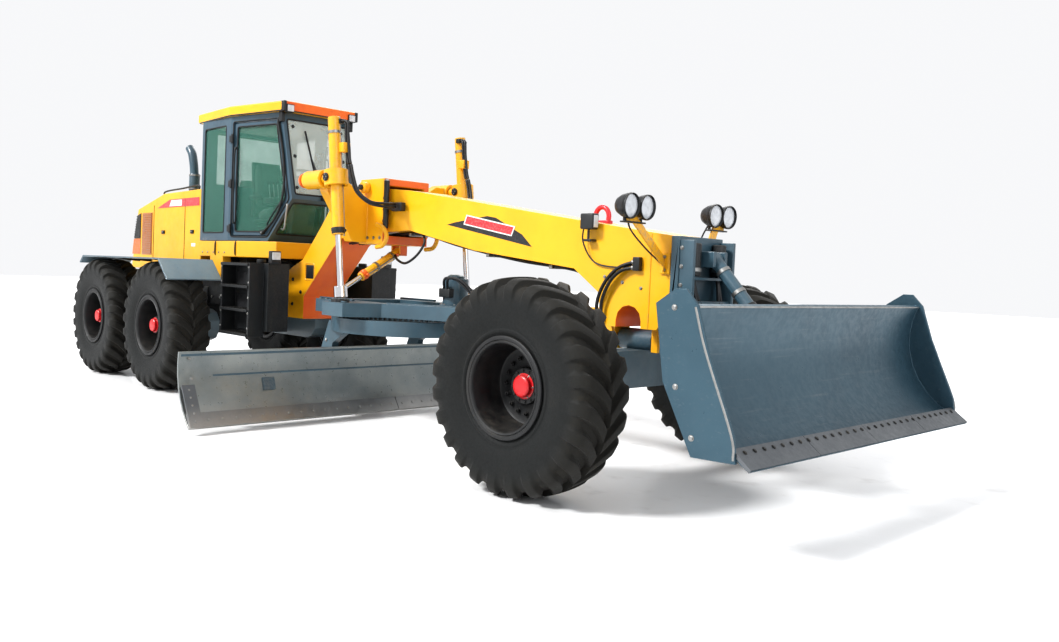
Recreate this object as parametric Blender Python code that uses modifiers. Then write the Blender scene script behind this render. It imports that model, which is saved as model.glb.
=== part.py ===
"""Articulated motor grader: rear frame with cab and tandems, gooseneck front frame, drawbar, circle and
moldboard, leaning front wheels and a front blade. Metres, +X forward, +Y left, +Z up, ground at z = 0."""

from math import cos, pi, radians, sin, sqrt

import bmesh
import bpy
from mathutils import Matrix, Vector

# ---------------------------------------------------------------- driving dimensions
AXLE_Z = 0.79               # height of every wheel centre, also the tyre radius
FRONT_AXLE_X = 3.50
TANDEM_X = -3.50
TANDEM_HALF = 0.92          # half the distance between the two wheels of a tandem
WHEEL_Y = 1.36              # half the track
TYRE_HALF = 0.26            # half the tyre width
RIM_BORE = 0.335            # radius of the tyre's bead seat

PIVOT_X = -1.80             # articulation pin
FRAME_HALF = 0.42           # half width over the rear rails
CAB_HALF = 0.70             # half width of the cab at the door's rear post
CAB_Z0, CAB_KINK_Z, CAB_Z1 = 1.87, 2.38, 3.42
CAB_REAR_X, CAB_POST_X = -3.05, -2.28
CAB_FRONT = {CAB_Z0: -1.60, CAB_KINK_Z: -1.22, CAB_Z1: -1.42}
DOOR_SLOPE = 0.25           # how far the door wall runs inwards per metre forwards
WALL = 0.07
HOOD_HALF = 0.66

BEAM_HALF = 0.24            # half width of the gooseneck
BALL = Vector((3.05, 0.0, 1.18))            # drawbar's front joint
LIFT_TOP = Vector((0.33, 0.88, 2.50))       # trunnion of the left lift cylinder
LIFT_EYE = Vector((0.48, 0.88, 1.34))
SHIFT_TOP = Vector((0.24, 0.05, 1.79))
SHIFT_EYE = Vector((0.27, -0.72, 1.36))
CIRCLE_X, CIRCLE_R, CIRCLE_BORE = 0.46, 0.80, 0.62
CARRIER = Vector((-0.10, 0.0, 0.38))        # tilt axis of the moldboard carrier
MOLD_HALF = 2.44
AXLE_PIN_Z = 1.10
LEAN_Y, KINGPIN_Y = 0.865, 1.02
BLADE_HALF = 1.62
ARM_PIN = Vector((4.18, 0.0, 1.12))
BLADE_PIN = Vector((4.90, 0.0, 1.00))
FRONT_CYL_TOP = Vector((4.15, 0.0, 1.76))
FRONT_CYL_EYE = Vector((4.58, 0.0, 1.27))

LADDER_FOOT = 0.755          # above the moldboard's top edge, which swings under it

TYRE_STEPS, RIM_STEPS, ROUND_STEPS = 20, 20, 12
GAP = 0.001

YELLOW = (0.85, 0.50, 0.02, 1.0)
STEEL_BLUE = (0.20, 0.25, 0.30, 1.0)
DARK = (0.03, 0.032, 0.035, 1.0)
GLASS = (0.35, 0.55, 0.48, 0.35)
CHROME = (0.75, 0.75, 0.76, 1.0)

X, Y, Z = Vector((1, 0, 0)), Vector((0, 1, 0)), Vector((0, 0, 1))
ORIGIN = Vector((0, 0, 0))


# ---------------------------------------------------------------- scene and helpers
for old in list(bpy.data.objects):
    bpy.data.objects.remove(old)
parts = bpy.data.collections.new("motor_grader")
helpers = bpy.data.collections.new("helpers")
bpy.context.scene.collection.children.link(parts)
bpy.context.scene.collection.children.link(helpers)


def finish(name, mesh):
    """Wraps a mesh in an object of the parts collection."""
    obj = bpy.data.objects.new(name, mesh)
    parts.objects.link(obj)
    return obj


def paint(obj, colour, metallic=0.0, roughness=0.5):
    """Gives the object a Principled material of its own."""
    material = bpy.data.materials.new(obj.name)
    material.use_nodes = True
    shader = material.node_tree.nodes["Principled BSDF"]
    shader.inputs["Base Color"].default_value = colour
    shader.inputs["Metallic"].default_value = metallic
    shader.inputs["Roughness"].default_value = roughness
    shader.inputs["Alpha"].default_value = colour[3]
    obj.data.materials.append(material)
    return obj


def origin_to(obj, point):
    """Moves the object's origin to a point and leaves its shape where it is."""
    obj.data.transform(Matrix.Translation(-Vector(point)))
    obj.location = Vector(point)
    return obj


def helper(obj):
    """Makes the object a hidden tool of a Boolean."""
    parts.objects.unlink(obj)
    helpers.objects.link(obj)
    obj.hide_render = True
    obj.display_type = "WIRE"
    return obj


def combine(obj, operation, others):
    """Adds one exact Boolean to the object for each of the others."""
    for other in others:
        step = obj.modifiers.new(other.name, "BOOLEAN")
        step.operation = operation
        step.solver = "EXACT"
        step.object = helper(other)
    return obj


def join(obj, *others):
    return combine(obj, "UNION", others)


def cut(obj, *others):
    return combine(obj, "DIFFERENCE", others)


def box(name, x, y, z):
    """A block between two values on each axis."""
    form = bmesh.new()
    size = Matrix.Diagonal((x[1] - x[0], y[1] - y[0], z[1] - z[0], 1.0))
    centre = Matrix.Translation(((x[0] + x[1]) / 2, (y[0] + y[1]) / 2, (z[0] + z[1]) / 2))
    bmesh.ops.create_cube(form, size=1.0, matrix=centre @ size)
    mesh = bpy.data.meshes.new(name)
    form.to_mesh(mesh)
    form.free()
    return finish(name, mesh)


def side_box(name, side, x, y, z):
    """A block whose y span is measured outwards on one side of the machine."""
    near, far = sorted((side * y[0], side * y[1]))
    return box(name, x, (near, far), z)


def frame(origin, along, up):
    """Matrix with local x along one direction, local y up another and local z across both."""
    across = along.cross(up)
    matrix = Matrix((along, up, across)).transposed().to_4x4()
    return Matrix.Translation(origin) @ matrix


def slab(name, outline, lo, hi, origin=ORIGIN, along=X, up=Z):
    """A flat outline in the plane of `along` and `up`, filled and extruded from lo to hi across it."""
    curve = bpy.data.curves.new(name, "CURVE")
    curve.dimensions = "2D"
    curve.fill_mode = "BOTH"
    curve.extrude = (hi - lo) / 2
    line = curve.splines.new("POLY")
    line.points.add(len(outline) - 1)
    for point, (a, b) in zip(line.points, outline):
        point.co = (a, b, 0.0, 1.0)
    line.use_cyclic_u = True
    rough = bpy.data.objects.new(name + "_curve", curve)
    bpy.context.scene.collection.objects.link(rough)
    graph = bpy.context.evaluated_depsgraph_get()
    mesh = bpy.data.meshes.new_from_object(rough.evaluated_get(graph))
    bpy.data.objects.remove(rough)
    mesh.transform(frame(Vector(origin), along, up) @ Matrix.Translation((0, 0, (lo + hi) / 2)))
    form = bmesh.new()
    form.from_mesh(mesh)
    bmesh.ops.remove_doubles(form, verts=form.verts, dist=1e-5)
    bmesh.ops.recalc_face_normals(form, faces=form.faces)
    form.to_mesh(mesh)
    form.free()
    mesh.name = name
    return finish(name, mesh)


def profile(name, outline, y):
    """A side outline in x and z, extruded between two values of y."""
    return slab(name, outline, -y[1], -y[0])


def side_profile(name, side, outline, y):
    near, far = sorted((side * y[0], side * y[1]))
    return profile(name, outline, (near, far))


def plan(name, outline, z):
    """A plan outline in x and y, extruded between two heights."""
    return slab(name, outline, z[0], z[1], up=Y)


def mirrored(half):
    """A closed plan outline from its half at positive y, listed from the front to the rear."""
    return half + [(x, -y) for x, y in reversed(half)]


def turned(name, outline, centre, axis, steps=ROUND_STEPS):
    """A solid of revolution. The outline holds (radius, height) pairs from the top down its outside."""
    mesh = bpy.data.meshes.new(name)
    closed = outline[0][0] > 0.0
    count = len(outline)
    edges = [(i, i + 1) for i in range(count - 1)] + ([(count - 1, 0)] if closed else [])
    mesh.from_pydata([(r, 0.0, h) for r, h in outline], edges, [])
    obj = finish(name, mesh)
    spin = obj.modifiers.new("spin", "SCREW")
    spin.steps = steps
    spin.render_steps = steps
    spin.use_merge_vertices = True
    spin.merge_threshold = 0.0001
    spin.use_smooth_shade = True
    turn = Z.rotation_difference(Vector(axis)).to_matrix().to_4x4()
    obj.matrix_world = Matrix.Translation(Vector(centre)) @ turn
    return obj


def rod(name, start, end, radius, steps=ROUND_STEPS):
    """A round bar between two points."""
    start, end = Vector(start), Vector(end)
    length = (end - start).length
    outline = [(0.0, length), (radius, length), (radius, 0.0), (0.0, 0.0)]
    return turned(name, outline, start, (end - start).normalized(), steps)


def hollow_rod(name, start, end, radius, bore, depth, steps=ROUND_STEPS):
    """A round barrel, closed at its start, with a bore of some depth from its end."""
    start, end = Vector(start), Vector(end)
    length = (end - start).length
    outline = [(0.0, length - depth), (bore, length - depth), (bore, length), (radius, length)]
    outline = outline + [(radius, 0.0), (0.0, 0.0)]
    return turned(name, outline, start, (end - start).normalized(), steps)


def arc(centre, radius, start, stop, count):
    """Points on a circle, angles in degrees."""
    turns = [radians(start + (stop - start) * i / (count - 1)) for i in range(count)]
    return [(centre[0] + radius * cos(t), centre[1] + radius * sin(t)) for t in turns]


# ---------------------------------------------------------------- wheels
def tyre(name, x, side):
    outline = [
        (RIM_BORE, 0.205), (0.385, 0.210), (0.52, 0.250), (0.68, TYRE_HALF), (0.755, 0.245),
        (AXLE_Z, 0.19), (AXLE_Z, -0.19), (0.755, -0.245), (0.68, -TYRE_HALF), (0.52, -0.250),
        (0.385, -0.210), (RIM_BORE, -0.205),
    ]
    return paint(turned(name, outline, (x, side * WHEEL_Y, AXLE_Z), Y * side, TYRE_STEPS), DARK, 0.0, 0.85)


def rim(name, x, side):
    seat = RIM_BORE - 0.002
    outline = [
        (0.0, 0.05), (0.13, 0.05), (0.15, -0.03), (0.305, -0.03), (0.318, 0.236), (0.372, 0.236),
        (0.372, 0.213), (seat, 0.213), (seat, -0.213), (0.372, -0.213), (0.372, -0.236),
        (0.318, -0.236), (0.305, -0.075), (0.15, -0.075), (0.15, -0.12), (0.0, -0.12),
    ]
    return paint(turned(name, outline, (x, side * WHEEL_Y, AXLE_Z), Y * side, RIM_STEPS), DARK, 0.2, 0.4)


STUB_END = WHEEL_Y - 0.12 - 0.004

for side, word in ((-1, "right"), (1, "left")):
    tyre("tandem_front_tyre_" + word, TANDEM_X + TANDEM_HALF, side)
    rim("tandem_front_rim_" + word, TANDEM_X + TANDEM_HALF, side)
    tyre("tandem_rear_tyre_" + word, TANDEM_X - TANDEM_HALF, side)
    rim("tandem_rear_rim_" + word, TANDEM_X - TANDEM_HALF, side)
    tyre("front_tyre_" + word, FRONT_AXLE_X, side)
    rim("front_rim_" + word, FRONT_AXLE_X, side)

# ---------------------------------------------------------------- tandems with their fenders
for side, word in ((-1, "right"), (1, "left")):
    ends = arc((TANDEM_X + TANDEM_HALF, AXLE_Z), 0.20, -90, 90, 6)
    ends = ends + arc((TANDEM_X - TANDEM_HALF, AXLE_Z), 0.20, 90, 270, 6)
    case = side_profile("tandem_" + word, side, ends, (0.72, 0.98))
    stubs = [
        rod(f"stub_{word}_{i}", (x, side * 0.95, AXLE_Z), (x, side * STUB_END, AXLE_Z), 0.09)
        for i, x in enumerate((TANDEM_X + TANDEM_HALF, TANDEM_X - TANDEM_HALF))
    ]
    bracket = side_box("fender_bracket_" + word, side, (-3.62, -3.38), (0.90, 0.96), (0.90, 1.61))
    over = [
        (-4.86, 1.52), (-4.74, 1.62), (-2.24, 1.62), (-1.98, 1.38), (-1.995, 1.365),
        (-2.25, 1.60), (-4.73, 1.60), (-4.845, 1.51),
    ]
    fender = side_profile("fender_" + word, side, over, (0.92, 1.63))
    join(case, stubs[0], stubs[1], bracket, fender)
    origin_to(case, (TANDEM_X, 0, AXLE_Z))
    paint(case, STEEL_BLUE)

# ---------------------------------------------------------------- rear frame
rear_frame = side_box("rear_frame", 1, (-5.30, -2.12), (0.26, FRAME_HALF), (1.02, 1.42))
right_rail = side_box("rail_right", -1, (-5.30, -2.12), (0.26, FRAME_HALF), (1.02, 1.42))
bulkhead = box("bulkhead", (-2.36, -2.10), (-0.69, 0.69), (0.93, 1.50))
cab_stand = box("cab_stand", (-2.34, -2.14), (-0.50, 0.50), (1.45, 1.664))
cab_stand_rear = box("cab_stand_rear", (-3.06, -2.90), (-0.50, 0.50), (1.36, 1.664))
axle_saddle = box("axle_saddle", (-3.70, -3.30), (-0.44, 0.44), (0.84, 1.25))
bumper = box("bumper", (-5.42, -5.24), (-0.62, 0.62), (0.98, 1.44))
axle_tube = rod("axle_tube", (TANDEM_X, -0.712, AXLE_Z), (TANDEM_X, 0.712, AXLE_Z), 0.19, 16)
tongue_end = arc((PIVOT_X, 0.0), 0.13, -90, 90, 7)
tongue = plan("tongue", [(-2.20, -0.13)] + tongue_end + [(-2.20, 0.13)], (1.06, 1.39))
join(rear_frame, right_rail, bulkhead, cab_stand, cab_stand_rear, axle_saddle, bumper, axle_tube, tongue)
cut(rear_frame, rod("tongue_bore", (PIVOT_X, 0, 0.9), (PIVOT_X, 0, 1.5), 0.056))
paint(rear_frame, DARK)

paint(box("engine_block", (-4.95, -3.35), (-0.40, 0.40), (1.43, 2.25)), DARK, 0.3)

hood = profile(
    "hood",
    [(-5.40, 1.46), (-3.10, 1.46), (-3.10, 2.56), (-4.30, 2.54), (-5.20, 2.34)],
    (-HOOD_HALF, HOOD_HALF),
)
hood_inside = profile(
    "hood_inside",
    [(-5.60, 1.30), (-3.13, 1.30), (-3.13, 2.53), (-4.30, 2.51), (-5.50, 2.243)],
    (-HOOD_HALF + 0.03, HOOD_HALF - 0.03),
)
paint(cut(hood, hood_inside), YELLOW)
grille_line = [(-5.385, 1.48), (-5.335, 1.48), (-5.16, 2.25), (-5.21, 2.25)]
paint(profile("rear_grille", grille_line, (-HOOD_HALF + 0.035, HOOD_HALF - 0.035)), DARK)

stack_line = bpy.data.curves.new("exhaust_stack", "CURVE")
stack_line.dimensions = "3D"
stack_line.bevel_depth = 0.068
stack_line.bevel_resolution = 2
stack_line.use_fill_caps = True
stack_path = stack_line.splines.new("POLY")
stack_points = (
    (-3.88, -0.40, 2.562), (-3.88, -0.40, 2.72), (-3.93, -0.40, 3.00), (-3.97, -0.40, 3.11), (-4.07, -0.40, 3.22),
)
stack_path.points.add(len(stack_points) - 1)
for point, place in zip(stack_path.points, stack_points):
    point.co = (*place, 1.0)
stack = bpy.data.objects.new("exhaust_stack", stack_line)
parts.objects.link(stack)
paint(stack, STEEL_BLUE, 0.4)

# ---------------------------------------------------------------- cab
floor_half = [(-1.37, 0.54), (-2.00, CAB_HALF), (-3.09, CAB_HALF)]
platform = plan("cab_platform", mirrored(floor_half), (1.665, 1.865))
gussets = [
    side_box(f"gusset_{word}", side, (-2.75, -2.40), (0.58, CAB_HALF), (1.38, 1.70))
    for side, word in ((-1, "right"), (1, "left"))
]
paint(join(platform, *gussets), YELLOW)


def cab_shape(name, inset, below, above):
    """The cab's six-sided outside, kinked at the windscreen, drawn in by an inset on every wall."""
    lean = sqrt(1 + DOOR_SLOPE**2)
    rings = []
    for height, x in CAB_FRONT.items():
        front = x - inset
        post = CAB_POST_X - inset * (lean - 1) / DOOR_SLOPE
        edge = CAB_HALF - inset * lean - DOOR_SLOPE * (front - CAB_POST_X)
        half = [(front, edge), (post, CAB_HALF - inset), (CAB_REAR_X + inset, CAB_HALF - inset)]
        level = height - below if height == CAB_Z0 else height + above if height == CAB_Z1 else height
        rings.append([(a, b, level) for a, b in mirrored(half)])
    points = [point for ring in rings for point in ring]
    count = len(rings[0])
    faces = [tuple(range(count)), tuple(reversed(range(2 * count, 3 * count)))]
    for level in range(2):
        for i in range(count):
            j = (i + 1) % count
            a, b = level * count, (level + 1) * count
            faces.append((a + i, b + i, b + j, a + j))
    mesh = bpy.data.meshes.new(name)
    mesh.from_pydata(points, [], faces)
    form = bmesh.new()
    form.from_mesh(mesh)
    bmesh.ops.recalc_face_normals(form, faces=form.faces)
    form.to_mesh(mesh)
    form.free()
    return finish(name, mesh)


def door_plane(side):
    """Origin and directions of the outer face of one door wall: along it, and out of it."""
    along = Vector((1.0, -side * DOOR_SLOPE, 0.0)).normalized()
    outward = Vector((-along.y, along.x, 0.0)) * side
    return Vector((CAB_POST_X, side * CAB_HALF, 0.0)), along, outward


def door_slab(name, side, outline, inner, outer):
    """A piece of the door wall between two depths, measured outwards from its outer face."""
    start, along, outward = door_plane(side)
    across = along.cross(Z)
    lo, hi = (inner, outer) if across.dot(outward) > 0 else (-outer, -inner)
    return slab(name, outline, lo, hi, start, along, Z)


def inset_outline(outline, gap):
    """The outline moved inwards by a gap. The outline runs counter-clockwise."""
    result = []
    for i, point in enumerate(outline):
        before, after = Vector(outline[i - 1]), Vector(outline[(i + 1) % len(outline)])
        here = Vector(point)
        first, second = (here - before).normalized(), (after - here).normalized()
        n1, n2 = Vector((-first.y, first.x)), Vector((-second.y, second.x))
        result.append(tuple(here + (n1 + n2) * gap / (1 + n1.dot(n2))))
    return result


DOOR_OPENING = [(0.06, 1.93), (0.69, 1.93), (1.035, CAB_KINK_Z), (0.835, 3.34), (0.06, 3.34)]
DOOR_EDGE = inset_outline(DOOR_OPENING, 0.008)
DOOR_LIGHT = inset_outline(DOOR_OPENING, 0.055)
UPPER_LIGHT = [(-0.385, 2.44), (0.385, 2.44), (0.43, 3.34), (-0.43, 3.34)]
LOWER_LIGHT = [(-0.46, 1.96), (0.46, 1.96), (0.40, 2.33), (-0.40, 2.33)]

cab = cab_shape("cab_frame", 0.0, 0.0, 0.0)
openings = [
    cab_shape("cab_inside", WALL, 0.1, 0.1),
    box("rear_light", (-3.3, -2.8), (-0.52, 0.52), (2.62, 3.30)),
    box("side_light", (-2.975, -2.40), (-1.0, 1.0), (1.97, 3.32)),
    slab("upper_light", UPPER_LIGHT, -1.62, -1.0, ORIGIN, Y, Z),
    slab("lower_light", LOWER_LIGHT, -1.80, -1.0, ORIGIN, Y, Z),
    door_slab("door_hole_right", -1, DOOR_OPENING, -0.12, 0.1),
    door_slab("door_hole_left", 1, DOOR_OPENING, -0.12, 0.1),
]
paint(cut(cab, *openings), STEEL_BLUE)

for side, word in ((-1, "right"), (1, "left")):
    door = door_slab("door_" + word, side, DOOR_EDGE, -0.055, -0.010)
    cut(door, door_slab("door_light_" + word, side, DOOR_LIGHT, -0.1, 0.1))
    pane = door_slab("door_glass_" + word, side, inset_outline(DOOR_LIGHT, 0.002), -0.036, -0.028)
    start, along, outward = door_plane(side)
    hinge = start + along * 0.05 + outward * 0.02
    hinge.z = (CAB_Z0 + CAB_Z1) / 2
    paint(origin_to(door, hinge), STEEL_BLUE)
    paint(origin_to(pane, hinge), GLASS)

roof_half = [(-1.31, 0.53), (-2.25, 0.745), (-3.20, 0.70)]
paint(plan("cab_roof", mirrored(roof_half), (CAB_Z1 + GAP, 3.54)), YELLOW)

upper_up = Vector((CAB_FRONT[CAB_Z1] - CAB_FRONT[CAB_KINK_Z], 0, CAB_Z1 - CAB_KINK_Z)).normalized()
upper_foot = Vector((CAB_FRONT[CAB_KINK_Z], 0, CAB_KINK_Z))
upper = [(-0.381, 0.080), (0.381, 0.080), (0.424, 0.958), (-0.424, 0.958)]
paint(slab("windscreen", upper, -0.040, -0.030, upper_foot, Y, upper_up), GLASS)
lower_up = Vector((CAB_FRONT[CAB_KINK_Z] - CAB_FRONT[CAB_Z0], 0, CAB_KINK_Z - CAB_Z0)).normalized()
lower_foot = Vector((CAB_FRONT[CAB_Z0], 0, CAB_Z0))
lower = [(-0.452, 0.105), (0.452, 0.105), (0.4005, 0.525), (-0.4005, 0.525)]
paint(slab("lower_windscreen", lower, -0.040, -0.030, lower_foot, Y, lower_up), GLASS)

inner, sheet = CAB_HALF - WALL - 0.004, 0.008
glass_x = CAB_REAR_X + WALL + 0.004
u_shape = [
    (-2.36, inner), (glass_x, inner), (glass_x, -inner), (-2.36, -inner), (-2.36, -inner + sheet),
    (glass_x + sheet, -inner + sheet), (glass_x + sheet, inner - sheet), (-2.36, inner - sheet),
]
paint(plan("rear_glass", u_shape, (1.95, 3.35)), GLASS)

seat_line = [
    (-2.50, 1.868), (-2.16, 1.868), (-2.16, 2.18), (-2.02, 2.20), (-2.00, 2.34), (-2.46, 2.32),
    (-2.54, 2.95), (-2.64, 2.95), (-2.60, 2.20), (-2.50, 2.18),
]
paint(profile("seat", seat_line, (-0.25, 0.25)), DARK)
console_line = [(-1.82, 1.868), (-1.68, 1.868), (-1.60, 2.30), (-1.68, 2.62), (-1.78, 2.62), (-1.74, 2.30)]
paint(profile("console", console_line, (-0.16, 0.16)), DARK)

# ---------------------------------------------------------------- steps and side boxes
for side, word in ((-1, "right"), (1, "left")):
    tank = side_box("side_steps_" + word, side, (-1.74, -0.96), (0.60, 0.88), (0.82, 1.60))
    carrier = side_box("tank_bracket_" + word, side, (-2.099, -1.70), (0.60, 0.66), (1.10, 1.46))
    rear_post = side_box("rear_post_" + word, side, (-1.74, -1.70), (0.86, 1.06), (LADDER_FOOT, 1.60))
    front_post = side_box("front_post_" + word, side, (-1.10, -1.06), (0.86, 1.06), (LADDER_FOOT, 1.60))
    treads = [
        side_box(f"tread_{word}_{i}", side, (-1.72, -1.08), (0.85, 1.08), (z, z + 0.03))
        for i, z in enumerate((LADDER_FOOT + 0.005, 1.04, 1.31, 1.565))
    ]
    paint(join(tank, carrier, rear_post, front_post, *treads), STEEL_BLUE)

# ---------------------------------------------------------------- gooseneck
beam_line = [
    (-1.60, 0.95), (-1.20, 0.95), (-1.20, 1.22), (-0.57, 1.84), (-0.38, 1.95), (0.75, 2.00),
    (1.74, 1.80), (2.97, 1.66), (3.24, 1.47), (3.28, 1.20), (3.82, 1.20), (3.96, 1.45),
    (3.96, 1.93), (3.75, 1.96), (2.79, 2.10), (1.20, 2.34), (0.75, 2.41), (0.10, 2.47),
    (-0.30, 2.47), (-0.62, 2.34), (-0.87, 2.06), (-1.25, 1.66), (-1.45, 1.58), (-1.60, 1.50),
]
gooseneck = profile("gooseneck", beam_line, (-BEAM_HALF, BEAM_HALF))
ear_end = arc((PIVOT_X, 0.0), 0.17, 90, 270, 7)
ear_plan = [(-1.55, 0.17)] + ear_end + [(-1.55, -0.17)]
axle_lugs = [box(f"axle_lug_{i}", (x, x + 0.06), (-0.10, 0.10), (1.01, 1.25)) for i, x in enumerate((3.26, 3.68))]
ball_block = box("ball_block", (3.17, 3.30), (-0.11, 0.11), (1.02, 1.34))
ball_plates = [
    box(f"ball_plate_{i}", (2.98, 3.20), (-0.10, 0.10), (z, z + 0.03)) for i, z in enumerate((1.025, 1.305))
]
join(
    gooseneck,
    plan("ear_low", ear_plan, (0.95, 1.04)),
    plan("ear_high", ear_plan, (1.41, 1.50)),
    rod("pivot_pin", (PIVOT_X, 0, 0.99), (PIVOT_X, 0, 1.45), 0.05),
    *axle_lugs,
    rod("axle_pin", (3.29, 0, AXLE_PIN_Z), (3.71, 0, AXLE_PIN_Z), 0.04),
    ball_block,
    *ball_plates,
)
arch = arc((3.55, 1.26), 0.12, 180, 0, 7)
cut(gooseneck, profile("arch", [(3.67, 1.0)] + [(3.43, 1.0)] + arch, (-0.5, 0.5)))
paint(origin_to(gooseneck, (PIVOT_X, 0, 0)), YELLOW)

# ---------------------------------------------------------------- saddle and lift arms
ring_x = (-0.02, 0.40)
saddle = box("saddle", ring_x, (-0.31, 0.31), (1.85, 2.55))
saddle_hole = box("saddle_hole", (-0.1, 0.5), (-BEAM_HALF - 0.001, BEAM_HALF + 0.001), (1.945, 2.475))
cut(saddle, saddle_hole)
wing = [(0.29, 1.87), (0.50, 1.87), (0.84, 2.38), (0.84, 2.55), (0.66, 2.55), (0.29, 2.32)]
for side, word in ((-1, "right"), (1, "left")):
    outline = wing if side > 0 else [(-a, b) for a, b in reversed(wing)]
    arm = slab("lift_arm_" + word, outline, 0.0, 0.14, (-0.02, 0, 0), Y, Z)
    boss = rod("lift_boss_" + word, (-0.18, side * LIFT_TOP.y, 2.5), (0.14, side * LIFT_TOP.y, 2.5), 0.098, 16)
    join(saddle, arm, boss)
    bore = rod("boss_bore_" + word, (-0.3, side * LIFT_TOP.y, 2.5), (0.3, side * LIFT_TOP.y, 2.5), 0.062)
    cut(saddle, bore)
shift_lugs = [
    box(f"shift_lug_{i}", (SHIFT_TOP.x + x, SHIFT_TOP.x + x + 0.025), (0.0, 0.10), (1.74, 1.87))
    for i, x in enumerate((-0.082, 0.057))
]
shift_pin = rod("shift_pin", SHIFT_TOP - X * 0.07, SHIFT_TOP + X * 0.07, 0.018)
join(saddle, *shift_lugs, shift_pin)
paint(saddle, YELLOW)

# ---------------------------------------------------------------- lift cylinders
for side, word in ((-1, "right"), (1, "left")):
    top = Vector((LIFT_TOP.x, side * LIFT_TOP.y, LIFT_TOP.z))
    eye = Vector((LIFT_EYE.x, side * LIFT_EYE.y, LIFT_EYE.z))
    down = (eye - top).normalized()
    collar_line = [(0.126, 0.08), (0.126, -0.08), (0.088, -0.08), (0.088, 0.08)]
    collar = turned("lift_yoke_" + word, collar_line, top, -down, 16)
    shaft = rod("yoke_shaft_" + word, (-0.24, top.y, top.z), (0.225, top.y, top.z), 0.058)
    paint(join(collar, shaft), YELLOW)
    barrel = hollow_rod("lift_barrel_" + word, top - down * 0.63, top + down * 0.585, 0.062, 0.038, 1.18)
    trunnions = [
        rod(f"trunnion_{word}_{i}", top + Y * s * 0.045, top + Y * s * 0.081, 0.02) for i, s in enumerate((-1, 1))
    ]
    paint(join(barrel, *trunnions), YELLOW)
    piston_rod = rod("lift_rod_" + word, top - down * 0.20, eye - down * 0.04, 0.033)
    cup = rod("rod_cup_" + word, eye - down * 0.06, eye + down * 0.055, 0.07)
    paint(join(piston_rod, cup), CHROME, 1.0, 0.15)

# ---------------------------------------------------------------- drawbar
swivel = rod("drawbar_swivel", (BALL.x, 0, 1.058), (BALL.x, 0, 1.302), 0.052)
join(swivel, rod("cross_pin", (BALL.x, -0.112, BALL.z), (BALL.x, 0.112, BALL.z), 0.030))
paint(swivel, DARK)

bar_half = [
    (2.90, 0.11), (1.35, 0.30), (0.80, 0.60), (0.66, 0.98), (0.30, 0.98), (0.20, 0.64), (-0.36, 0.62),
]
drawbar = plan("drawbar", mirrored(bar_half), (1.10, 1.24))
window_half = [(1.05, 0.12), (0.60, 0.42), (-0.18, 0.42)]
ear_x = [(BALL.x - 0.20, 1.125)] + arc((BALL.x, BALL.z), 0.055, -90, 90, 7) + [(BALL.x - 0.20, 1.235)]
ears = [profile(f"nose_ear_{i}", ear_x, y) for i, y in enumerate(((-0.108, -0.066), (0.066, 0.108)))]
motor = rod("circle_motor", (1.24, 0, 1.16), (1.24, 0, 1.42), 0.11)
studs = [
    rod(f"ball_stud_{i}", (LIFT_EYE.x, s * LIFT_EYE.y, 1.20), (LIFT_EYE.x, s * LIFT_EYE.y, 1.262), 0.06)
    for i, s in enumerate((-1, 1))
]
cut(drawbar, plan("drawbar_window", mirrored(window_half), (1.0, 1.3)))
join(drawbar, *ears, motor, *studs)
cut(drawbar, rod("nose_bore", (BALL.x, -0.3, BALL.z), (BALL.x, 0.3, BALL.z), 0.034))
paint(origin_to(drawbar, BALL), STEEL_BLUE)

# ---------------------------------------------------------------- centre-shift cylinder
shift_dir = (SHIFT_EYE - SHIFT_TOP).normalized()
shift_barrel = hollow_rod(
    "shift_barrel", SHIFT_TOP + shift_dir * 0.01, SHIFT_TOP + shift_dir * 0.60, 0.048, 0.031, 0.52
)
shift_hub = rod("shift_hub", SHIFT_TOP - X * 0.04, SHIFT_TOP + X * 0.04, 0.045)
join(shift_barrel, shift_hub)
cut(shift_barrel, rod("shift_bore", SHIFT_TOP - X * 0.1, SHIFT_TOP + X * 0.1, 0.021))
paint(shift_barrel, YELLOW)
shift_rod = rod("shift_rod", SHIFT_TOP + shift_dir * 0.30, SHIFT_EYE - shift_dir * 0.01, 0.026)
eye_ring = rod("shift_eye", SHIFT_EYE - X * 0.035, SHIFT_EYE + X * 0.035, 0.042)
paint(join(shift_rod, eye_ring), CHROME, 1.0, 0.15)

# ---------------------------------------------------------------- circle, carrier and moldboard
ring_line = [(CIRCLE_BORE, 1.07), (CIRCLE_R, 1.07), (CIRCLE_R, 0.92), (CIRCLE_BORE, 0.92)]
circle = turned("circle", ring_line[1:] + ring_line[:1], (CIRCLE_X, 0, 0), Z, 32)
leg_line = arc((CARRIER.x, CARRIER.z), 0.066, 180, 360, 7) + [
    (-0.034, 0.55), (0.02, 0.78), (0.22, 0.90), (0.28, 1.02), (-0.06, 1.02), (-0.20, 0.70),
]
legs = [side_profile(f"circle_leg_{i}", s, leg_line, (0.56, 0.64)) for i, s in enumerate((-1, 1))]
paint(join(circle, *legs), STEEL_BLUE)

carrier_bar = box("blade_carrier", (-0.02, 0.075), (-0.75, 0.75), (0.30, 0.46))
carrier_ears = []
for i, s in enumerate((-1, 1)):
    ear_line = arc((CARRIER.x, CARRIER.z), 0.07, 90, 270, 7)
    ear_line = ear_line + [(0.0, 0.31), (0.0, 0.45)]
    carrier_ears.append(side_profile(f"carrier_ear_{i}", s, ear_line, (0.50, 0.55)))
paint(origin_to(join(carrier_bar, *carrier_ears), CARRIER), DARK)


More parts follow.
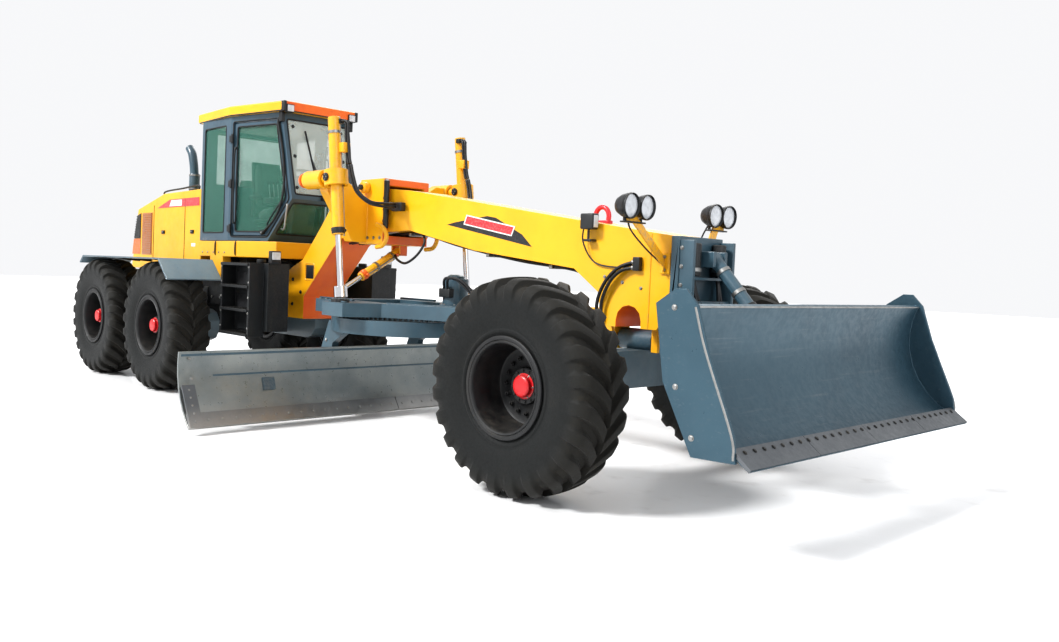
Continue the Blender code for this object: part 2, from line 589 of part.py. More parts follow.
def bowed(foot, head, sag, thickness, count=8):
    """Closed side outline of a curved plate: an arc from foot to head that bows backwards by sag."""
    foot, head = Vector(foot), Vector(head)
    chord = head - foot
    back = Vector((-chord.y, chord.x)).normalized()
    radius = (chord.length / 2) ** 2 / (2 * sag) + sag / 2
    middle = (foot + head) / 2 - back * (radius - sag)
    a = (foot - middle).angle_signed(Vector((1, 0)))
    b = (head - middle).angle_signed(Vector((1, 0)))
    if abs(b - a) > pi:
        b = b + 2 * pi if b < a else b - 2 * pi
    turns = [a + (b - a) * i / (count - 1) for i in range(count)]
    face = [tuple(middle + Vector((cos(t), sin(t))) * radius) for t in turns]
    rear = [tuple(middle + Vector((cos(t), sin(t))) * (radius + thickness)) for t in turns]
    return face + rear[::-1]


moldboard = profile("moldboard", bowed((0.385, 0.07), (0.13, 0.745), 0.10, 0.022), (-MOLD_HALF, MOLD_HALF))
paint(origin_to(moldboard, CARRIER), STEEL_BLUE)

# ---------------------------------------------------------------- front axle and steering
axle_line = [
    (-LEAN_Y + 0.043, 0.72), (LEAN_Y - 0.043, 0.72), (LEAN_Y - 0.01, AXLE_Z), (LEAN_Y - 0.053, 0.90), (0.45, 1.02),
    (-0.45, 1.02), (-LEAN_Y + 0.053, 0.90), (-LEAN_Y + 0.01, AXLE_Z),
]
axle = slab("front_axle", axle_line, -0.10, 0.10, (FRONT_AXLE_X, 0, 0), Y, Z)
join(axle, rod("axle_hub", (3.335, 0, AXLE_PIN_Z), (3.665, 0, AXLE_PIN_Z), 0.088, 16))
cut(axle, rod("axle_bore", (3.2, 0, AXLE_PIN_Z), (3.8, 0, AXLE_PIN_Z), 0.044))
paint(origin_to(axle, (FRONT_AXLE_X, 0, AXLE_PIN_Z)), STEEL_BLUE)
for side, word in ((-1, "right"), (1, "left")):
    lean = side_box("lean_bracket_" + word, side, (3.42, 3.58), (LEAN_Y + 0.005, 0.955), (0.62, 0.96))
    paint(origin_to(lean, (FRONT_AXLE_X, side * LEAN_Y, AXLE_Z)), STEEL_BLUE)
    king = rod("spindle_" + word, (3.5, side * KINGPIN_Y, 0.66), (3.5, side * KINGPIN_Y, 0.92), 0.058)
    stub = rod("spindle_stub_" + word, (3.5, side * KINGPIN_Y, AXLE_Z), (3.5, side * STUB_END, AXLE_Z), 0.075)
    paint(join(king, stub), DARK)

# ---------------------------------------------------------------- front mount and lamps
mount = box("front_mount", (3.961, 4.03), (-0.30, 0.30), (0.98, 1.93))
mount_ears = [
    side_box(f"cylinder_ear_{i}", s, (4.02, 4.20), (0.055, 0.095), (1.70, 1.82)) for i, s in enumerate((-1, 1))
]
arm_ears = [
    side_box(f"arm_ear_{i}", s, (4.02, 4.24), (0.36, 0.40), (1.06, 1.18)) for i, s in enumerate((-1, 1))
]
wide = box("mount_wide", (3.965, 4.03), (-0.40, 0.40), (1.03, 1.21))
arm_shaft = rod("arm_shaft", (ARM_PIN.x, -0.38, ARM_PIN.z), (ARM_PIN.x, 0.38, ARM_PIN.z), 0.04)
top_pin = rod("top_pin", (FRONT_CYL_TOP.x, -0.08, FRONT_CYL_TOP.z), (FRONT_CYL_TOP.x, 0.08, FRONT_CYL_TOP.z), 0.02)
paint(join(mount, wide, *mount_ears, *arm_ears, arm_shaft, top_pin), STEEL_BLUE)

lamps = box("headlamps", (3.76, 3.86), (-0.50, 0.50), (1.965, 2.01))
lamp_parts = []
for i, s in enumerate((-1, 1)):
    lamp_parts.append(side_box(f"lamp_box_{i}", s, (3.72, 3.86), (0.42, 0.84), (2.0, 2.26)))
    lamp_parts.append(side_box(f"lamp_plate_{i}", s, (3.78, 3.90), (0.242, 0.262), (1.72, 2.0)))
paint(join(lamps, *lamp_parts), YELLOW)

# ---------------------------------------------------------------- front blade
arm = box("front_arm", (4.34, 4.62), (-0.31, 0.31), (1.00, 1.14))
for i, s in enumerate((-1, 1)):
    near = [(4.10, 1.07), (4.20, 1.04), (4.86, 0.94), (4.95, 1.0), (4.86, 1.06), (4.22, 1.19), (4.12, 1.19)]
    join(arm, side_profile(f"arm_side_{i}", s, near, (0.24, 0.30)))
    lug = [(4.42, 1.10), (4.56, 1.10), (4.63, 1.24), (4.62, 1.30), (4.56, 1.31), (4.53, 1.26)]
    join(arm, side_profile(f"arm_lug_{i}", s, lug, (0.045, 0.075)))
cut(arm, rod("arm_bore", (ARM_PIN.x, -0.5, ARM_PIN.z), (ARM_PIN.x, 0.5, ARM_PIN.z), 0.045))
cut(arm, rod("arm_end_bore", (BLADE_PIN.x, -0.5, BLADE_PIN.z), (BLADE_PIN.x, 0.5, BLADE_PIN.z), 0.026))
paint(origin_to(arm, ARM_PIN), STEEL_BLUE)

blade = profile("front_blade", bowed((5.30, 0.63), (5.02, 1.455), 0.17, 0.03, 9), (-BLADE_HALF + 0.01, BLADE_HALF - 0.01))
edge = profile("blade_edge", [(5.27, 0.66), (5.40, 0.565), (5.42, 0.575), (5.30, 0.67)], (-1.60, 1.60))
cheek_line = [
    (5.05, 0.59), (5.33, 0.60), (5.31, 0.75), (5.13, 1.20), (5.05, 1.46), (4.97, 1.55), (4.90, 1.55),
    (4.77, 1.46), (4.84, 1.00),
]
cheeks = [side_profile(f"cheek_{i}", s, cheek_line, (1.595, BLADE_HALF)) for i, s in enumerate((-1, 1))]
spine = box("blade_spine", (4.88, 4.95), (-1.61, 1.61), (1.13, 1.27))
blade_lugs = []
for i, s in enumerate((-1, 1)):
    lug = [(4.87, 0.96), (5.0, 0.94), (4.962, 1.08), (4.87, 1.04)]
    blade_lugs.append(side_profile(f"blade_lug_{i}", s, lug, (0.31, 0.34)))
blade_pin = rod("blade_pin", (BLADE_PIN.x, -0.33, BLADE_PIN.z), (BLADE_PIN.x, 0.33, BLADE_PIN.z), 0.022)
join(blade, edge, *cheeks, spine, *blade_lugs, blade_pin)
paint(origin_to(blade, BLADE_PIN), STEEL_BLUE)

reach = (FRONT_CYL_EYE - FRONT_CYL_TOP).normalized()
front_barrel = hollow_rod(
    "front_barrel", FRONT_CYL_TOP - reach * 0.03, FRONT_CYL_TOP + reach * 0.52, 0.05, 0.031, 0.46
)
front_hub = rod("front_hub", FRONT_CYL_TOP - Y * 0.045, FRONT_CYL_TOP + Y * 0.045, 0.048)
join(front_barrel, front_hub)
cut(front_barrel, rod("hub_bore", FRONT_CYL_TOP - Y * 0.1, FRONT_CYL_TOP + Y * 0.1, 0.023))
paint(front_barrel, STEEL_BLUE)
front_rod = rod("front_rod", FRONT_CYL_TOP + reach * 0.13, FRONT_CYL_EYE - reach * 0.01, 0.026)
join(front_rod, rod("front_eye", FRONT_CYL_EYE - Y * 0.035, FRONT_CYL_EYE + Y * 0.035, 0.04))
paint(front_rod, CHROME, 1.0, 0.15)
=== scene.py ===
"""Looks of the articulated motor grader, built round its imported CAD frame.

Metres, +X forward, +Y to the machine's left, +Z up, ground at z = 0. Every sub-assembly is a class whose
fields are its sizes and whose methods build and dress its pieces. Every finish is a frozen dataclass.
"""

import logging
import math
from dataclasses import dataclass, field
from enum import Enum
from typing import Callable, Optional, Sequence

import bmesh
import bpy
import numpy as np
from mathutils import Matrix, Vector


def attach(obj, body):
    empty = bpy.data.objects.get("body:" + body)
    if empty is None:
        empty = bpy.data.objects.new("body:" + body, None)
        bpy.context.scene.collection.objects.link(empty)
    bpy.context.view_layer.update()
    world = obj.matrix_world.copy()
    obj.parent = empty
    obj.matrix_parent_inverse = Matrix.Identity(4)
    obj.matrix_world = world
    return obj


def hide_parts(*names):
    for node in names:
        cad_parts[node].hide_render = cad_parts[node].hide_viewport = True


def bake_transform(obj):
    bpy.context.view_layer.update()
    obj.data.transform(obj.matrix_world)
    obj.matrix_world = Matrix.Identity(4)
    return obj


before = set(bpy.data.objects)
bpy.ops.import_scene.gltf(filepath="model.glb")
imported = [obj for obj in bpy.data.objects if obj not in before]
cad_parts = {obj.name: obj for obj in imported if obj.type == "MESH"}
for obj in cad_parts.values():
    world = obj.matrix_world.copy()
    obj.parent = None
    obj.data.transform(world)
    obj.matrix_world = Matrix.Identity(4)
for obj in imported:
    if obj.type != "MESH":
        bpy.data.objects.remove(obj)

LOG = logging.getLogger("motor_grader")
Colour = tuple[float, float, float]
Point = tuple[float, float, float]
Array = np.ndarray
Vec = Sequence[float]
Socket = bpy.types.NodeSocket
Piece = bpy.types.Object
Finish = bpy.types.Material
AHEAD, LEFT, UP = (1, 0, 0), (0, 1, 0), (0, 0, 1)


class Side(Enum):
  """The machine's two sides and the sign of their y."""

  RIGHT = -1
  LEFT = 1

  @property
  def word(self) -> str:
    """The side's word in node and body names."""
    return self.name.lower()


class Slot(Enum):
  """Material slots of the record."""

  YELLOW = "yellow_paint"
  CHASSIS = "chassis_grey"
  CAB = "cab_grey"
  DARK = "dark_steel"
  RIM = "rim_black"
  TYRE = "tyre_rubber"
  CHROME = "rod_chrome"
  ENGINE = "engine_iron"
  GLASS = "tinted_glass"
  SEAT = "seat_fabric"
  PLASTIC = "dark_plastic"


# ---- material nodes
class NodeSheet:
  """A material's node tree, with short calls for the nodes that the finishes use."""

  def __init__(self, name: str) -> None:
    """Starts an empty tree that holds a Principled shader and its output.

    Args:
      name: the material's name.
    """
    self.material = bpy.data.materials.new(name)
    self.material.use_nodes = True
    self.tree = self.material.node_tree
    self.shader = self.tree.nodes["Principled BSDF"]
    self.place = self.add("ShaderNodeTexCoord").outputs["Object"]

  def add(self, kind: str, **settings: object) -> bpy.types.Node:
    """Adds a node and sets its properties.

    Args:
      kind: Blender's name of the node type.
      **settings: properties of the node.

    Returns:
      The new node.
    """
    node = self.tree.nodes.new(kind)
    for key, value in settings.items():
      setattr(node, key, value)
    return node

  def feed(self, socket: Socket, value: object) -> None:
    """Links an output to the socket, or sets the socket's own value.

    Args:
      socket: the input socket.
      value: an output socket, a number or a colour.
    """
    if isinstance(value, Socket):
      self.tree.links.new(value, socket)
    elif isinstance(value, tuple) and len(value) == 3 and socket.type == "RGBA":
      socket.default_value = (*value, 1)
    else:
      socket.default_value = value

  def constant(self, **values: object) -> None:
    """Sets constants on the shader's own sockets, their names with _ for a space."""
    for key, value in values.items():
      self.feed(self.shader.inputs[key.replace("_", " ")], value)

  def math(self, operation: str, a: object, b: object = 0, clamp: bool = False) -> Socket:
    """One Math node.

    Args:
      operation: Blender's name of the operation.
      a: first input.
      b: second input.
      clamp: True to hold the result between 0 and 1.

    Returns:
      Its output.
    """
    node = self.add("ShaderNodeMath", operation=operation, use_clamp=clamp)
    self.feed(node.inputs[0], a)
    self.feed(node.inputs[1], b)
    return node.outputs[0]

  def stretched(self, scale: Point, vector: Optional[Socket] = None) -> Socket:
    """Coordinates scaled by axis, for grain and streaks.

    Args:
      scale: factor on each axis.
      vector: coordinates, or None for Object coordinates.

    Returns:
      The scaled coordinates.
    """
    node = self.add("ShaderNodeMapping")
    self.feed(node.inputs["Vector"], vector or self.place)
    node.inputs["Scale"].default_value = scale
    return node.outputs[0]

  def noise(self, scale: float, detail: float = 4, rough: float = .55, vector: Optional[Socket] = None) -> Socket:
    """Fractal noise of Object coordinates.

    Args:
      scale: waves per metre.
      detail: octaves.
      rough: share of the finer octaves.
      vector: coordinates, or None for Object coordinates.

    Returns:
      Its value, about 0.5 in the mean.
    """
    node = self.add("ShaderNodeTexNoise")
    self.feed(node.inputs["Vector"], vector or self.place)
    node.inputs["Scale"].default_value = scale
    node.inputs["Detail"].default_value = detail
    node.inputs["Roughness"].default_value = rough
    return node.outputs["Fac"]

  def span(self, value: object, low: float, high: float, start: float = 0, end: float = 1) -> Socket:
    """Maps low..high to start..end, smoothly and clamped.

    Args:
      value: input.
      low: input that gives start.
      high: input that gives end.
      start: output at low.
      end: output at high.

    Returns:
      The mapped value.
    """
    node = self.add("ShaderNodeMapRange", interpolation_type="SMOOTHSTEP")
    for index, item in enumerate((value, low, high, start, end)):
      self.feed(node.inputs[index], item)
    return node.outputs[0]

  def blend(self, factor: object, a: object, b: object, kind: str = "MIX") -> Socket:
    """Mixes two colours.

    Args:
      factor: 0 for a, 1 for b.
      a: first colour.
      b: second colour.
      kind: Blender's blend type.

    Returns:
      The mixed colour.
    """
    node = self.add("ShaderNodeMix", data_type="RGBA", blend_type=kind)
    self.feed(node.inputs[0], factor)
    self.feed(node.inputs[6], a)
    self.feed(node.inputs[7], b)
    return node.outputs[2]

  def facing_up(self) -> Socket:
    """The z of the surface's normal, -1 to 1."""
    split = self.add("ShaderNodeSeparateXYZ")
    self.feed(split.inputs[0], self.add("ShaderNodeNewGeometry").outputs["Normal"])
    return split.outputs[2]

  def height(self) -> Socket:
    """The height above the ground in metres."""
    split = self.add("ShaderNodeSeparateXYZ")
    self.feed(split.inputs[0], self.place)
    return split.outputs[2]

  def edge_wear(self, low: float, high: float) -> Socket:
    """1 on sharp outer edges, 0 elsewhere."""
    return self.span(self.add("ShaderNodeNewGeometry").outputs["Pointiness"], low, high)

  def attribute(self, name: str) -> Socket:
    """A float attribute of the mesh."""
    return self.add("ShaderNodeAttribute", attribute_name=name).outputs["Fac"]

  def bump(self, height: Socket, strength: float, distance: float) -> None:
    """Adds a bump below any bump that the shader already has.

    Args:
      height: height from 0 to 1.
      strength: 0 to 1.
      distance: the bump's real height in metres.
    """
    node = self.add("ShaderNodeBump")
    node.inputs["Strength"].default_value = strength
    node.inputs["Distance"].default_value = distance
    self.feed(node.inputs["Height"], height)
    socket = self.shader.inputs["Normal"]
    if socket.is_linked:
      self.feed(node.inputs["Normal"], socket.links[0].from_socket)
    self.feed(socket, node.outputs[0])


# ---- finishes
@dataclass(frozen=True)
class Enamel:
  """Sprayed machine paint: uneven tone, orange peel, dust on flat tops, grime low down and worn edges."""

  name: str
  colour: Colour
  shade: Colour
  roughness: float = .36
  metallic: float = 0
  coat: float = .25
  dust: float = .35
  dust_colour: Colour = (.42, .36, .27)
  grime: float = .35
  wear: float = .5
  wear_colour: Colour = (.22, .21, .2)
  peel: float = .1

  def make(self) -> Finish:
    """Builds the material.

    Returns:
      The material.
    """
    sheet = NodeSheet(self.name)
    cloud = sheet.noise(1.6, 5, .6)
    patch = sheet.noise(14, 6, .65)
    paint = sheet.blend(sheet.span(cloud, .35, .68), self.colour, self.shade)
    dusty = sheet.math("MULTIPLY", sheet.span(sheet.facing_up(), .35, .95), sheet.span(patch, .3, .72))
    dusty = sheet.math("MULTIPLY", dusty, self.dust)
    paint = sheet.blend(dusty, paint, self.dust_colour)
    streak = sheet.noise(5, 6, .7, sheet.stretched((1, 1, .16)))
    low = sheet.span(sheet.height(), 1.9, .25)
    dirty = sheet.math("MULTIPLY", sheet.math("MULTIPLY", sheet.span(streak, .48, .78), low), self.grime)
    paint = sheet.blend(dirty, paint, (.1, .085, .065))
    rub = sheet.math("MULTIPLY", sheet.edge_wear(.54, .62), sheet.span(sheet.noise(45, 5, .7), .42, .66))
    rub = sheet.math("MULTIPLY", rub, self.wear)
    scratch = sheet.noise(60, 3, .6, sheet.stretched((.12, .12, 1)))
    scratch = sheet.math("MULTIPLY", sheet.span(scratch, .7, .76), .25 * self.wear)
    paint = sheet.blend(sheet.math("MAXIMUM", rub, scratch), paint, self.wear_colour)
    sheet.constant(Base_Color=paint, Metallic=self.metallic, IOR=1.5)
    sheet.constant(Coat_Weight=self.coat, Coat_Roughness=.18)
    spread = sheet.span(patch, .3, .75, self.roughness - .06, self.roughness + .12)
    spread = sheet.math("ADD", spread, sheet.math("MULTIPLY", sheet.math("ADD", dusty, dirty), .45), True)
    sheet.constant(Roughness=spread)
    sheet.bump(sheet.noise(420, 2, .5), self.peel, .0006)
    sheet.bump(cloud, .12, .004)
    return sheet.material


@dataclass(frozen=True)
class WornSteel:
  """Ground-engaging plate: satin paint rubbed by earth, with long scratches and a polished lower band."""

  name: str
  colour: Colour
  shade: Colour
  metallic: float = .45
  roughness: float = .34
  bright: Colour = (.42, .41, .39)
  low: float = .1
  high: float = .4

  def make(self) -> Finish:
    """Builds the material.

    Returns:
      The material.
    """
    sheet = NodeSheet(self.name)
    cloud = sheet.noise(1.1, 6, .62)
    fine = sheet.noise(22, 7, .7)
    paint = sheet.blend(sheet.span(cloud, .32, .7), self.colour, self.shade)
    paint = sheet.blend(sheet.span(fine, .55, .95, 0, .22), paint, (.24, .25, .25))
    scratch = sheet.noise(26, 6, .7, sheet.stretched((1, .05, 1.6)))
    rub = sheet.span(scratch, .56, .74)
    band = sheet.span(sheet.math("ADD", sheet.height(), sheet.math("MULTIPLY", cloud, .16)), self.high, self.low)
    polish = sheet.math("MAXIMUM", sheet.math("MULTIPLY", rub, .12), sheet.math("MULTIPLY", band, .75))
    rust = sheet.math("MULTIPLY", sheet.span(sheet.noise(7, 8, .75), .62, .8), .12)
    paint = sheet.blend(polish, paint, self.bright)
    paint = sheet.blend(rust, paint, (.13, .085, .055))
    sheet.constant(Base_Color=paint, IOR=1.5, Coat_Weight=0)
    sheet.constant(Metallic=sheet.math("ADD", self.metallic, sheet.math("MULTIPLY", polish, .35), True))
    sheet.constant(Roughness=sheet.span(fine, .25, .8, self.roughness - .08, self.roughness + .2))
    sheet.bump(scratch, .2, .0012)
    sheet.bump(fine, .12, .0015)
    return sheet.material


@dataclass(frozen=True)
class TyreRubber:
  """Black rubber with clay in its grooves, read from the mesh's own lug height."""

  name: str = "tyre_rubber_dusty"
  colour: Colour = (.005, .006, .006)
  clay: Colour = (.04, .035, .027)

  def make(self) -> Finish:
    """Builds the material.

    Returns:
      The material.
    """
    sheet = NodeSheet(self.name)
    lug, crown = sheet.attribute("lug"), sheet.attribute("crown")
    cloud, fine = sheet.noise(4.5, 6, .62), sheet.noise(55, 6, .7)
    groove = sheet.math("MULTIPLY", sheet.math("SUBTRACT", 1, lug), sheet.span(cloud, .3, .62))
    held = sheet.math("MULTIPLY", sheet.math("MAXIMUM", sheet.math("MULTIPLY", groove, .75), .42), crown)
    held = sheet.math("MULTIPLY", held, sheet.span(fine, .28, .62, .35, 1))
    wall = sheet.math("MULTIPLY", sheet.span(cloud, .45, .8), .12)
    held = sheet.math("MAXIMUM", held, wall)
    sheet.constant(Base_Color=sheet.blend(held, self.colour, self.clay), IOR=1.45, Specular_IOR_Level=.26)
    spread = sheet.math("ADD", sheet.span(fine, .3, .8, .56, .8), sheet.math("MULTIPLY", held, .3), True)
    sheet.constant(Roughness=spread, Sheen_Weight=.05, Sheen_Roughness=.6)
    sheet.bump(fine, .3, .0018)
    sheet.bump(sheet.noise(380, 2, .5), .12, .0005)
    return sheet.material


@dataclass(frozen=True)
class CabGlass:
  """Green tinted safety glass, a little dusty at its edges."""

  name: str
  tint: Colour = (.085, .27, .2)
  alpha: float = .27

  def make(self) -> Finish:
    """Builds the material.

    Returns:
      The material.
    """
    sheet = NodeSheet(self.name)
    film = sheet.noise(2.3, 5, .6)
    tint = sheet.blend(sheet.span(film, .4, .75), self.tint, tuple(.82 * part for part in self.tint))
    sheet.constant(Base_Color=tint, Metallic=0, IOR=1.52, Specular_IOR_Level=.75)
    sheet.constant(Roughness=sheet.span(sheet.noise(9, 6, .7), .35, .85, .03, .13))
    sheet.constant(Alpha=sheet.span(film, .3, .8, self.alpha - .04, self.alpha + .07))
    return sheet.material


@dataclass(frozen=True)
class Plain:
  """A small part's finish: one tone with grain, roughness variation and fine relief."""

  name: str
  colour: Colour
  roughness: float = .5
  metallic: float = 0
  grain: float = 180
  relief: float = .15
  variation: float = .25
  coat: float = 0
  glow: float = 0

  def make(self) -> Finish:
    """Builds the material.

    Returns:
      The material.
    """
    sheet = NodeSheet(self.name)
    patch, fine = sheet.noise(18, 5, .6), sheet.noise(self.grain, 3, .6)
    darker = tuple((1 - self.variation) * part for part in self.colour)
    tone = sheet.blend(sheet.span(patch, .35, .75), self.colour, darker)
    tone = sheet.blend(sheet.math("MULTIPLY", sheet.span(fine, .55, .85), .25), tone, (.22, .19, .15))
    sheet.constant(Base_Color=tone, Metallic=self.metallic, IOR=1.5, Coat_Weight=self.coat)
    sheet.constant(Roughness=sheet.span(patch, .3, .8, self.roughness - .08, self.roughness + .12))
    if self.glow:
      sheet.constant(Emission_Color=(1, .98, .94), Emission_Strength=self.glow)
    sheet.bump(fine, self.relief, .0007)
    return sheet.material


@dataclass(frozen=True)
class Weave:
  """Seat cloth: two crossed thread waves with a soft sheen."""

  name: str = "seat_cloth"
  colour: Colour = (.028, .033, .034)
  thread: Colour = (.085, .095, .095)
  pitch: float = 420

  def make(self) -> Finish:
    """Builds the material.

    Returns:
      The material.
    """
    sheet = NodeSheet(self.name)
    waves = []
    for axis in ("X", "Y", "Z"):
      wave = sheet.add("ShaderNodeTexWave", bands_direction=axis)
      sheet.feed(wave.inputs["Vector"], sheet.place)
      wave.inputs["Scale"].default_value = self.pitch / 6.3
      wave.inputs["Distortion"].default_value = .6
      waves.append(wave.outputs["Fac"])
    cloth = sheet.math("MULTIPLY", sheet.math("MULTIPLY", waves[0], waves[1]), waves[2])
    tone = sheet.blend(sheet.span(cloth, 0, .5), self.colour, self.thread)
    tone = sheet.blend(sheet.span(sheet.noise(9), .4, .8, 0, .3), tone, (.13, .12, .1))
    sheet.constant(Base_Color=tone, Roughness=sheet.span(sheet.noise(30), .3, .8, .78, .95))
    sheet.constant(Sheen_Weight=.35, Sheen_Roughness=.5)
    sheet.bump(cloth, .5, .0008)
    return sheet.material


class Palette:
  """Every finish of the machine, each made once."""

  def __init__(self) -> None:
    """Makes the materials."""
    self.yellow = Enamel("enamel_yellow", (.83, .43, .008), (.78, .37, .006)).make()
    # Red-orange enamel: painted shade on the forward-facing faces of the yellow beam, saddle and roof; it also
    # colours some small trims.
    self.orange = Enamel("enamel_orange", (.8, .15, .004), (.7, .1, .003), dust=.15).make()
    self.louvre = Enamel("enamel_burnt_orange", (.42, .14, .02), (.36, .11, .015), dust=.2).make()
    self.slate = Enamel("enamel_slate", (.05, .098, .128), (.036, .074, .1), roughness=.36, coat=.2, dust=.18,
        wear=.35).make()
    self.cab_slate = Enamel("enamel_cab_slate", (.05, .092, .125), (.038, .074, .102), roughness=.34,
        grime=.1).make()
    self.fender = Enamel("enamel_fender", (.2, .27, .31), (.155, .215, .255), roughness=.33, coat=.35,
        dust=.15).make()
    self.black = Enamel("enamel_black", (.0075, .009, .0105), (.012, .014, .015), roughness=.46, coat=.05, dust=.12,
        wear=.12).make()
    self.rim = Enamel("enamel_rim_black", (.0055, .006, .007), (.009, .01, .011), roughness=.5, coat=0, dust=.06,
        grime=.2, wear=.1).make()
    self.hub_red = Enamel("enamel_hub_red", (.62, .012, .018), (.52, .008, .012), dust=.1, grime=.2).make()
    self.blade = WornSteel("blade_steel", (.046, .092, .122), (.034, .07, .096), low=.56, high=.66)
    self.blade = self.blade.make()
    self.board = WornSteel("moldboard_steel", (.31, .33, .32), (.19, .215, .22), .55, .32, low=.08, high=.42).make()
    self.edge = WornSteel("cutting_edge_steel", (.16, .17, .18), (.12, .13, .14), .8, .36).make()
    self.rubber = TyreRubber().make()
    self.glass = CabGlass("cab_glass_green").make()
    self.clear_glass = CabGlass("cab_glass_clear", (.74, .84, .8), .34).make()
    self.chrome = Plain("rod_chrome_bright", (.72, .72, .74), .12, 1, 60, .03, .08).make()
    self.steel = Plain("bolt_steel", (.34, .34, .33), .4, .9, 120, .2).make()
    self.hose = Plain("hose_rubber", (.014, .015, .017), .48, 0, 260, .3).make()
    self.gasket = Plain("gasket_rubber", (.012, .013, .014), .62, 0, 300, .3).make()
    self.plastic = Plain("black_plastic", (.018, .019, .021), .46, 0, 500, .35).make()
    self.iron = Plain("engine_iron", (.11, .11, .105), .62, .5, 90, .6).make()
    self.lens = Plain("lamp_lens_clear", (.6, .62, .65), .1, 0, 40, .1, .25, .6).make()
    self.amber = Plain("lamp_lens_amber", (.85, .3, .01), .15, 0, 40, .1, .1, .6).make()
    self.red_lens = Plain("lamp_lens_red", (.55, .01, .01), .15, 0, 40, .1, .1, .6).make()
    self.red_mark = Enamel("stripe_red", (.62, .02, .03), (.56, .015, .025), dust=.05, grime=.05).make()
    self.white_mark = Enamel("patch_white", (.78, .78, .76), (.72, .72, .7), dust=.1, wear=.2).make()
    self.cloth = Weave().make()


# ---- surfaces
Faces = list[list[int]]
Surface = tuple[Array, Faces]


def grid_faces(rows: int, columns: int, close_rows: bool = False, close_columns: bool = False) -> Faces:
  """Quads of a grid whose points are listed row by row.

  Args:
    rows: number of rows.
    columns: number of columns.
    close_rows: True to join the last row to the first.
    close_columns: True to join the last column to the first.

  Returns:
    The quads.
  """
  i, j = np.meshgrid(np.arange(rows if close_rows else rows - 1),
      np.arange(columns if close_columns else columns - 1), indexing="ij")
  below, beside = (i + 1) % rows, (j + 1) % columns
  quads = np.stack([i * columns + j, i * columns + beside, below * columns + beside, below * columns + j], -1)
  return quads.reshape(-1, 4).tolist()


def unit(vector: Vec) -> Array:
  """The vector scaled to length one."""
  vector = np.asarray(vector, float)
  return vector / np.linalg.norm(vector)


def square_to(axis: Vec) -> tuple[Array, Array]:
  """Two unit vectors square to an axis and to each other, right-handed with it.

  Args:
    axis: the axis.

  Returns:
    The two vectors.
  """
  axis = unit(axis)
  other = np.array([0, 0, 1]) if abs(axis[2]) < .9 else np.array([1, 0, 0])
  first = unit(np.cross(other, axis))
  return first, np.cross(axis, first)


def smoothed(points: Sequence[Point], per_span: int = 8) -> Array:
  """Catmull-Rom curve through the points: each span is the cubic with the neighbours' half chords as slopes.

  Args:
    points: points to pass through.
    per_span: steps in each span.

  Returns:
    The curve's points.
  """
  p = np.asarray(points, float)
  p = np.vstack([2 * p[0] - p[1], p, 2 * p[-1] - p[-2]])
  t = np.linspace(0, 1, per_span, endpoint=False)[None, :, None]
  a, b, c, d = (p[k : len(p) - 3 + k][:, None, :] for k in range(4))
  curve = .5 * (2 * b + (c - a) * t + (2 * a - 5 * b + 4 * c - d) * t**2 + (3 * b - a - 3 * c + d) * t**3)
  return np.vstack([curve.reshape(-1, p.shape[1]), p[-2]])


def carried(profile: Array, path: Array, caps: bool = True, scale: Optional[Array] = None) -> Surface:
  """A closed profile carried along a path without twist: each frame is the last one turned by the bend.

  Args:
    profile: closed outline as (k, 2), counter-clockwise seen against the path.
    path: (n, 3) points.
    caps: True to close both ends.
    scale: size of the profile at each path point.

  Returns:
    The surface.
  """
  profile, path = np.asarray(profile, float), np.asarray(path, float)
  along = np.gradient(path, axis=0)
  along /= np.linalg.norm(along, axis=1)[:, None]
  first, _ = square_to(along[0])
  sides = [first]
  for ahead in along[1:]:
    side = sides[-1] - ahead * (sides[-1] @ ahead)
    sides.append(side / np.linalg.norm(side))
  first = np.array(sides)
  second = np.cross(along, first)
  size = np.ones(len(path)) if scale is None else np.asarray(scale, float)
  local = profile[None, :, :] * size[:, None, None]
  points = path[:, None] + local[..., :1] * first[:, None] + local[..., 1:] * second[:, None]
  rows, columns = points.shape[:2]
  faces = grid_faces(rows, columns, close_columns=True)
  if caps:
    faces = faces + [list(range(columns))[::-1], list(range((rows - 1) * columns, rows * columns))]
  return points.reshape(-1, 3), faces


def ring(radius: float, sides: int = 10) -> Array:
  """A circle of points in a plane."""
  turn = np.linspace(0, 2 * math.pi, sides, endpoint=False)
  return radius * np.stack([np.cos(turn), np.sin(turn)], -1)


def tube(points: Sequence[Point], radius: float, sides: int = 10, per_span: int = 8) -> Surface:
  """A round tube along the smooth curve through the points."""
  return carried(ring(radius, sides), smoothed(points, per_span))


def bar(start: Vec, end: Vec, radius: float, sides: int = 20, edge: float = .15) -> Surface:
  """A round bar with chamfered ends: radius grows from (1 - edge) to 1 within edge radii of each end.

  Args:
    start: one end.
    end: other end.
    radius: its radius.
    sides: facets round it.
    edge: chamfer as a share of the radius.

  Returns:
    The surface.
  """
  start, end = np.asarray(start, float), np.asarray(end, float)
  length = np.linalg.norm(end - start)
  lip = min(edge * radius, .25 * length)
  profile = [(0, length), (radius - lip, length), (radius, length - lip), (radius, lip), (radius - lip, 0), (0, 0)]
  return turned(profile, start, (end - start) / length, sides)


